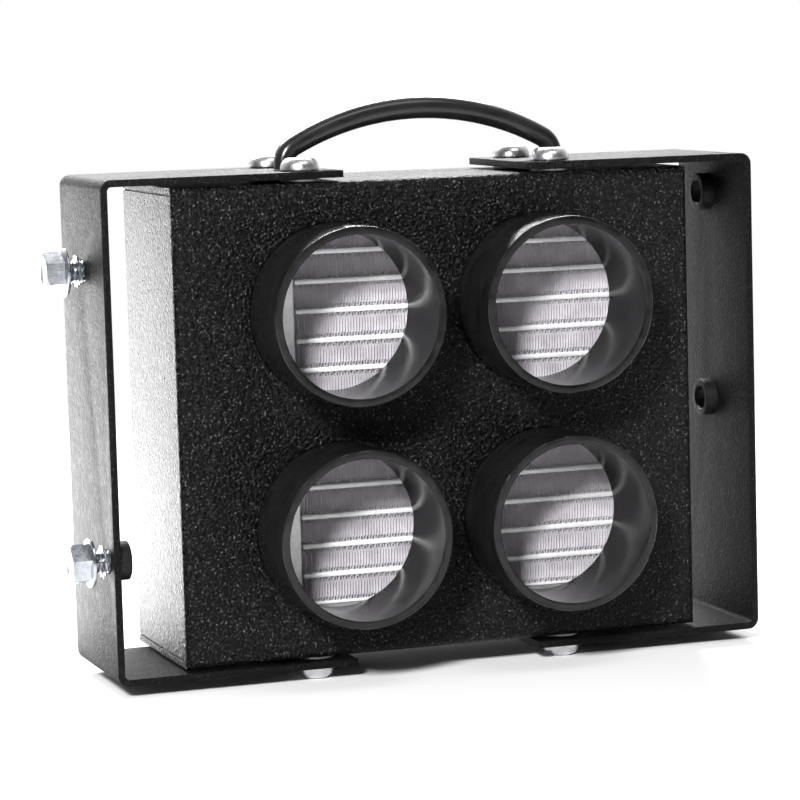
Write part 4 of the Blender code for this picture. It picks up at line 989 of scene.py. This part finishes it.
def core_matrix():
    """Flat tubes with folded fins between them; the fins' front and back edges are bent like louvres."""
    levels = core_levels()

    def tubes(shape):
        for level in levels[1:-1]:
            low = (CORE_LEFT + CORE_EDGE, CORE_FRONT, level - TUBE_THICKNESS / 2)
            high = (CORE_RIGHT - CORE_EDGE, CORE_BACK, level + TUBE_THICKNESS / 2)
            rounded_bar(shape, low, high, TUBE_BULGE)
        for level, inward in ((levels[0], CORE_EDGE), (levels[-1], -CORE_EDGE)):
            low, high = sorted((level, level + inward))
            plain_bar(
                shape, (CORE_LEFT + CORE_EDGE, CORE_FRONT, low), (CORE_RIGHT - CORE_EDGE, CORE_BACK, high),
            )
        for start in (CORE_LEFT, CORE_RIGHT - CORE_EDGE):
            low = (start, CORE_FRONT + END_RECESS, levels[0])
            plain_bar(shape, low, (start + CORE_EDGE, CORE_BACK, levels[-1]))

    made = loose("core_tubes_look", tubes)
    made = soften(made, 0.0002, 2, 60)
    dress(made, [TUBE_LOOK], nodes=["core_matrix"])

    def fins(shape):
        left = CORE_LEFT + CORE_EDGE
        pitch = (CORE_RIGHT - CORE_EDGE - FIN_SLANT - left) / FIN_FOLDS
        depths = [
            (FIN_SLANT, CORE_FRONT + FIN_RECESS), (0.0, CORE_FRONT + FIN_RECESS + FIN_SLANT_DEPTH),
            (0.0, CORE_BACK - FIN_RECESS - FIN_SLANT_DEPTH), (FIN_SLANT, CORE_BACK - FIN_RECESS),
        ]
        for row in range(CORE_ROWS):
            low = levels[row] + (TUBE_THICKNESS / 2 if row else CORE_EDGE)
            high = levels[row + 1] - (TUBE_THICKNESS / 2 if row < CORE_ROWS - 1 else CORE_EDGE)
            path = []
            bent = []
            for fold in range(FIN_FOLDS):
                middle = left + (fold + 0.5) * pitch
                rising = (fold + row) % 2 == 0
                start, end = (low, high) if rising else (high, low)
                turn = pitch * 0.5 if rising else -pitch * 0.5
                path.append((middle, start + turn))
                path += [(middle, start + (end - start) * share) for share in LOUVRE_SHARES]
                path.append((middle, end - turn))
                bent += [0, 0, 1, 1, 0, 0]
                if fold < FIN_FOLDS - 1:
                    path.append((middle + pitch / 2, end - turn * 0.06))
                    bent.append(0)
            sheets = []
            for offset in (-FIN_SHEET / 2, FIN_SHEET / 2):
                side = []
                for number, (across, up) in enumerate(path):
                    before = path[max(number - 1, 0)]
                    after = path[min(number + 1, len(path) - 1)]
                    run = Vector((after[0] - before[0], after[1] - before[1])).normalized()
                    side.append((across - run.y * offset, up + run.x * offset))
                sheets.append(side)
            loop = sheets[0] + sheets[1][::-1]
            slants = bent + bent[::-1]
            rings = [
                [Vector((x + shift * slant, depth, z)) for (x, z), slant in zip(loop, slants)]
                for shift, depth in depths
            ]
            thin_sheet(shape, rings)

    made = loose("core_fins_look", fins)
    dress(made, [LOOKS["core_fins"]], sharp=50)


def pipes():
    outer = PIPE_RADIUS
    length = PIPE_END - PIPE_START
    bead = 4 * PIPE_BEAD
    crest = [
        (outer + PIPE_BEAD * math.sin(math.radians(angle)) ** 2, length - bead - bead * angle / 180)
        for angle in range(0, 181, 18)
    ]
    profile = [
        (PIPE_BORE, 0), (PIPE_BORE, length - 0.0003), (PIPE_BORE + 0.0003, length), (outer - 0.0003, length),
        (outer, length - 0.0003), *crest, (outer, 0),
    ]
    for name, up in PIPE_Z.items():
        place = at((PIPE_X, PIPE_START, up), BACK)
        stand_for(f"{name}_pipe", lambda shape, p=place: lathe(shape, profile, p))
        grommet(f"{name}_grommet", PIPE_RADIUS + CLEARANCE, (PIPE_X, up))
    grommet("cable_grommet", CABLE_BORE, CABLE_EXIT)


def grommet(node, inner, spot):
    groove = inner + GROMMET_WALL
    lip = groove + GROMMET_LIP
    half = COVER_SHEET / 2 + CLEARANCE
    face = half + GROMMET_WALL
    corner = 0.0009
    back = [(lip, half)] + arc((lip - corner, face - corner), corner, 0, 90, 6)
    back += arc((inner + corner, face - corner), corner, 90, 180, 6)
    front = [(radius, -height) for radius, height in reversed(back)]
    profile = back + front + [(groove, -half), (groove, half)]
    place = at((spot[0], (COVER_FRONT + COVER_BACK) / 2, spot[1]), BACK)
    stand_for(node, lambda shape: lathe(shape, profile, place))


# Fan

FAN_PLACE = at((FAN_X, FAN_BACK, CORE_LIFT), FRONT)


def fan_frame():
    loops = [rounded_rectangle(FAN_SIZE, FAN_SIZE, FAN_CORNER), flat_circle(FAN_BORE, (0, 0), COLLAR_SIDES)]
    for across in (-FAN_HOLE, FAN_HOLE):
        for up in (-FAN_HOLE, FAN_HOLE):
            loops.append(flat_circle(SMALL_RADIUS + HOLE_EASE / 2, (across, up), 32))
    middle = FAN_PLACE @ at((0, 0, FAN_DEPTH / 2))
    made = soften(plate("fan_frame_look", loops, FAN_DEPTH, middle), 0.0005)

    def spider(turn):
        def build(shape):
            reach = FAN_BORE + FAN_STRUT / 2
            size = (2 * reach, FAN_STRUT, DISC_FRONT - DISC_BACK - 0.0008)
            level = (DISC_FRONT + DISC_BACK) / 2
            place = FAN_PLACE @ Matrix.Rotation(turn, 4, "Z") @ at((0, 0, level))
            bmesh.ops.create_cube(shape, size=1, matrix=place @ Matrix.Diagonal((*size, 1)))
        return build

    made = carve(made, spider(math.pi / 4), "UNION")
    made = carve(made, spider(-math.pi / 4), "UNION")
    disc = [
        (0, DISC_FRONT), (HUB_RADIUS - 0.0005, DISC_FRONT), (HUB_RADIUS, DISC_FRONT - 0.0005),
        (HUB_RADIUS, DISC_BACK), (BEARING_RADIUS, DISC_BACK), (BEARING_RADIUS, BEARING_BACK),
        (SHAFT_RADIUS + CLEARANCE, BEARING_BACK), (SHAFT_RADIUS + CLEARANCE, DISC_BACK), (0, DISC_BACK),
    ]
    made = carve(made, lambda shape: lathe(shape, disc, FAN_PLACE, FINE_SIDES, False), "UNION")
    dress(made, [LOOKS["fan_plastic"]], nodes=["fan_frame"])


def blade_point(out, along, start):
    """A point on a fan blade, by its shares of the span and of the chord."""
    root = HUB_RADIUS - HUB_WALL / 2
    tip = FAN_BORE - BLADE_TIP_GAP
    radius = root + (tip - root) * out
    camber = math.radians(5) * 4 * along * (1 - along)
    angle = start + math.radians(16) * out + math.radians(41) * (along - 0.5) + camber
    rise = 0.0145 - 0.004 * out
    height = (HUB_BACK + HUB_FRONT) / 2 + rise * (along - 0.5)
    return Vector((radius * math.cos(angle), radius * math.sin(angle), height))


def impeller():
    shaft_end = DISC_BACK - 0.002
    floor = HUB_BACK + HUB_WALL
    inner = HUB_RADIUS - HUB_WALL
    crown = arc((HUB_RADIUS - HUB_WALL, HUB_BACK + HUB_WALL), HUB_WALL, 0, -90, 6)
    profile = [
        (0, shaft_end), (SHAFT_RADIUS, shaft_end), (SHAFT_RADIUS, floor), (inner, floor), (inner, HUB_FRONT),
        (HUB_RADIUS, HUB_FRONT), *crown, (0, HUB_BACK),
    ]
    sides = 12 * BLADE_COUNT
    made = loose("fan_impeller_look", lambda shape: lathe(shape, profile, FAN_PLACE, sides, False))
    steps_out, steps_along = 10, 12

    def blades(shape):
        for number in range(BLADE_COUNT):
            start = 2 * math.pi * number / BLADE_COUNT
            rings = []
            for out in range(steps_out + 1):
                share = out / steps_out
                top, low = [], []
                for along in range(steps_along + 1):
                    chord = along / steps_along
                    thin = BLADE_SHEET / 2 * (0.35 + 0.65 * math.sin(math.pi * min(max(chord, 0.06), 0.94)))
                    point = blade_point(share, chord, start)
                    lift = Vector((0, 0, thin))
                    top.append(FAN_PLACE @ (point + lift))
                    low.append(FAN_PLACE @ (point - lift))
                rings.append(top + low[::-1])
            thin_sheet(shape, rings)

    made = carve(made, blades, "UNION")
    dress(made, [LOOKS["fan_plastic"]], "impeller", ["fan_impeller"])


def finger_guard():
    place = at((FAN_X, COVER_BACK, CORE_LIFT), BACK)
    wire = GUARD_WIRE

    def rings(shape):
        for radius in GUARD_RINGS:
            section = [(radius + x, GUARD_RING_LEVEL + z) for x, z in arc((0, 0), wire, 0, 330, 11)]
            lathe(shape, section, place, 96)

    corner = FAN_HOLE * math.sqrt(2)

    def arms(shape):
        for number in range(4):
            turn = place @ Matrix.Rotation(math.pi / 4 + number * math.pi / 2, 4, "Z")
            start = 2 * wire
            length = corner - GUARD_EYE + wire - start
            lathe(
                shape, [(0, 0), (wire, 0), (wire, length), (0, length)],
                turn @ at((start, 0, GUARD_ARM_LEVEL), RIGHT), 16, False,
            )

    def plates(shape):
        half = GUARD_PLATE / 2
        ease = 0.0003
        spots = [(0, 0, GUARD_HUB)]
        spots += [(x, z, GUARD_EYE) for x in (-FAN_HOLE, FAN_HOLE) for z in (-FAN_HOLE, FAN_HOLE)]
        for x, z, radius in spots:
            profile = [
                (0, half), (radius - ease, half), (radius, half - ease), (radius, ease - half),
                (radius - ease, -half), (0, -half),
            ]
            lathe(shape, profile, place @ at((x, z, GUARD_ARM_LEVEL)), 48, False)

    made = loose("finger_guard_look", rings)
    made = carve(made, arms, "UNION")
    made = carve(made, plates, "UNION")
    holes = [
        place @ at((x, z, GUARD_ARM_LEVEL)) for x in (-FAN_HOLE, FAN_HOLE) for z in (-FAN_HOLE, FAN_HOLE)
    ]
    made = carve(made, drill(SMALL_RADIUS + HOLE_EASE / 2, 4 * wire, holes, 32))
    dress(made, [LOOKS["guard_wire"]], nodes=["finger_guard"])


front_casing()
rear_cover()
collars()
brackets()
bracket_screws()
mounting_bolts()
back_screws()
carry_handle()
core_matrix()
pipes()
fan_frame()
impeller()
finger_guard()

KEPT_NODES = [
    "left_tank", "right_tank", "core_side_plate_top", "core_side_plate_bottom", "core_mount_top",
    "core_mount_bottom", "handle_screw_left", "handle_screw_right", "fan_stator",
]
for kept in KEPT_NODES:
    kept_mesh = frame["nodes"][kept].data
    kept_mesh.materials.clear()
    kept_mesh.materials.append(LOOKS[SLOT_OF[kept]])


# Floor, light and camera

CENTRE = (0, 0, 0.1)
FLOOR_NEAR = 0.35
FLOOR_FAR = 0.9


def background_rays(tree):
    """One for the rays that show the background: from the camera, or by way of metal and glass."""
    path = add(tree, "ShaderNodeLightPath")
    seen = path.outputs["Is Camera Ray"]
    for kind in ("Is Glossy Ray", "Is Transmission Ray"):
        seen = add(tree, "ShaderNodeMath", {0: seen, 1: path.outputs[kind]}, operation="MAXIMUM").outputs[0]
    return seen


def floor():
    """A white floor that keeps the object's shadow and fades into the white background."""
    shape = bmesh.new()
    bmesh.ops.create_grid(shape, x_segments=8, y_segments=8, size=4)
    mesh = bpy.data.meshes.new("floor")
    shape.to_mesh(mesh)
    shape.free()
    made = bpy.data.objects.new("floor", mesh)
    bpy.context.scene.collection.objects.link(made)
    look = bpy.data.materials.new("floor_white")
    look.use_nodes = True
    tree = look.node_tree
    tree.nodes.clear()
    matt_white = add(tree, "ShaderNodeBsdfDiffuse", {"Color": (0.86, 0.85, 0.853, 1)})
    glow = add(tree, "ShaderNodeEmission", {"Color": (1, 1, 1, 1), "Strength": 1.0})
    place = add(tree, "ShaderNodeNewGeometry").outputs["Position"]
    away = add(tree, "ShaderNodeVectorMath", {0: place, 1: CENTRE}, operation="DISTANCE")
    far = add(tree, "ShaderNodeMapRange", {
        "Value": away.outputs["Value"], "From Min": FLOOR_NEAR, "From Max": FLOOR_FAR,
    })
    share = add(tree, "ShaderNodeMath", {0: far.outputs[0], 1: background_rays(tree)}, operation="MULTIPLY")
    mixed = add(tree, "ShaderNodeMixShader", {
        0: share.outputs[0], 1: matt_white.outputs[0], 2: glow.outputs[0],
    })
    add(tree, "ShaderNodeOutputMaterial", {"Surface": mixed.outputs[0]})
    mesh.materials.append(look)


def studio_world():
    """White behind the object for the camera; a dimmer front side for light and reflections."""
    world = bpy.data.worlds.new("studio")
    bpy.context.scene.world = world
    world.use_nodes = True
    tree = world.node_tree
    tree.nodes.clear()
    camera_ray = add(tree, "ShaderNodeLightPath").outputs["Is Camera Ray"]
    aim = add(tree, "ShaderNodeTexCoord").outputs["Generated"]
    side = add(tree, "ShaderNodeVectorMath", {0: aim, 1: (0.25, 0.92, 0.3)}, operation="DOT_PRODUCT")
    level = add(tree, "ShaderNodeMapRange", {
        "Value": side.outputs["Value"], "From Min": -0.1, "From Max": 0.85, "To Min": 0.1, "To Max": 1.0,
    })
    strength = add(tree, "ShaderNodeMath", {0: level.outputs[0], 1: camera_ray}, operation="MAXIMUM")
    lit = add(tree, "ShaderNodeBackground", {"Color": (1, 1, 1, 1), "Strength": 0.18})
    white = add(tree, "ShaderNodeBackground", {"Color": (1, 1, 1, 1), "Strength": strength.outputs[0]})
    mixed = add(tree, "ShaderNodeMixShader", {
        0: background_rays(tree), 1: lit.outputs[0], 2: white.outputs[0],
    })
    add(tree, "ShaderNodeOutputWorld", {"Surface": mixed.outputs[0]})


def softbox(name, spot, aim, size, power):
    light = bpy.data.lights.new(name, "AREA")
    light.shape = "RECTANGLE"
    light.size, light.size_y = size
    light.energy = power
    made = bpy.data.objects.new(name, light)
    made.location = spot
    made.visible_camera = False
    made.rotation_euler = (Vector(aim) - Vector(spot)).to_track_quat("-Z", "Y").to_euler()
    bpy.context.scene.collection.objects.link(made)


def photo_camera():
    """The photograph's camera, from the angles of its view and its distance to the box's front."""
    yaw, pitch, roll = -0.3336, 0.111, -0.0285
    base = Matrix(((1, 0, 0), (0, 0, -1), (0, 1, 0)))
    turn = Matrix((
        (math.cos(yaw), math.sin(yaw), 0), (-math.sin(yaw), math.cos(yaw), 0), (0, 0, 1),
    ))
    look = Matrix.Rotation(roll, 3, "Z") @ Matrix.Rotation(pitch, 3, "X") @ base @ turn
    data = bpy.data.cameras.new("photo_camera")
    data.sensor_width = 36
    data.lens = 150.6
    data.clip_start = 0.05
    data.clip_end = 50
    made = bpy.data.objects.new("photo_camera", data)
    flipped = Matrix((look[0], -look[1], -look[2])).transposed().to_4x4()
    spot = -(look.transposed() @ Vector((0.015288, 0.004867, 1.21062)))
    made.matrix_world = FACE @ Matrix.Translation(spot) @ flipped
    bpy.context.scene.collection.objects.link(made)
    bpy.context.scene.camera = made


floor()
studio_world()
softbox("key", (-0.8, -1.23, 0.86), CENTRE, (0.24, 0.24), 46)
softbox("front_top", (0.2, -0.75, 1.45), CENTRE, (0.9, 0.6), 5)
softbox("back_top", (0.1, 1.0, 0.95), CENTRE, (1.2, 0.5), 44)
softbox("side_strip", (-0.21, 0.42, 0.085), (-0.1, 0.0, 0.085), (0.17, 0.16), 0.9)
softbox("side_floor", (-0.2, 0.28, 0.002), (-0.2, 0.28, 1.0), (0.2, 0.4), 2.0)
photo_camera()
bpy.context.scene.view_settings.view_transform = "Standard"
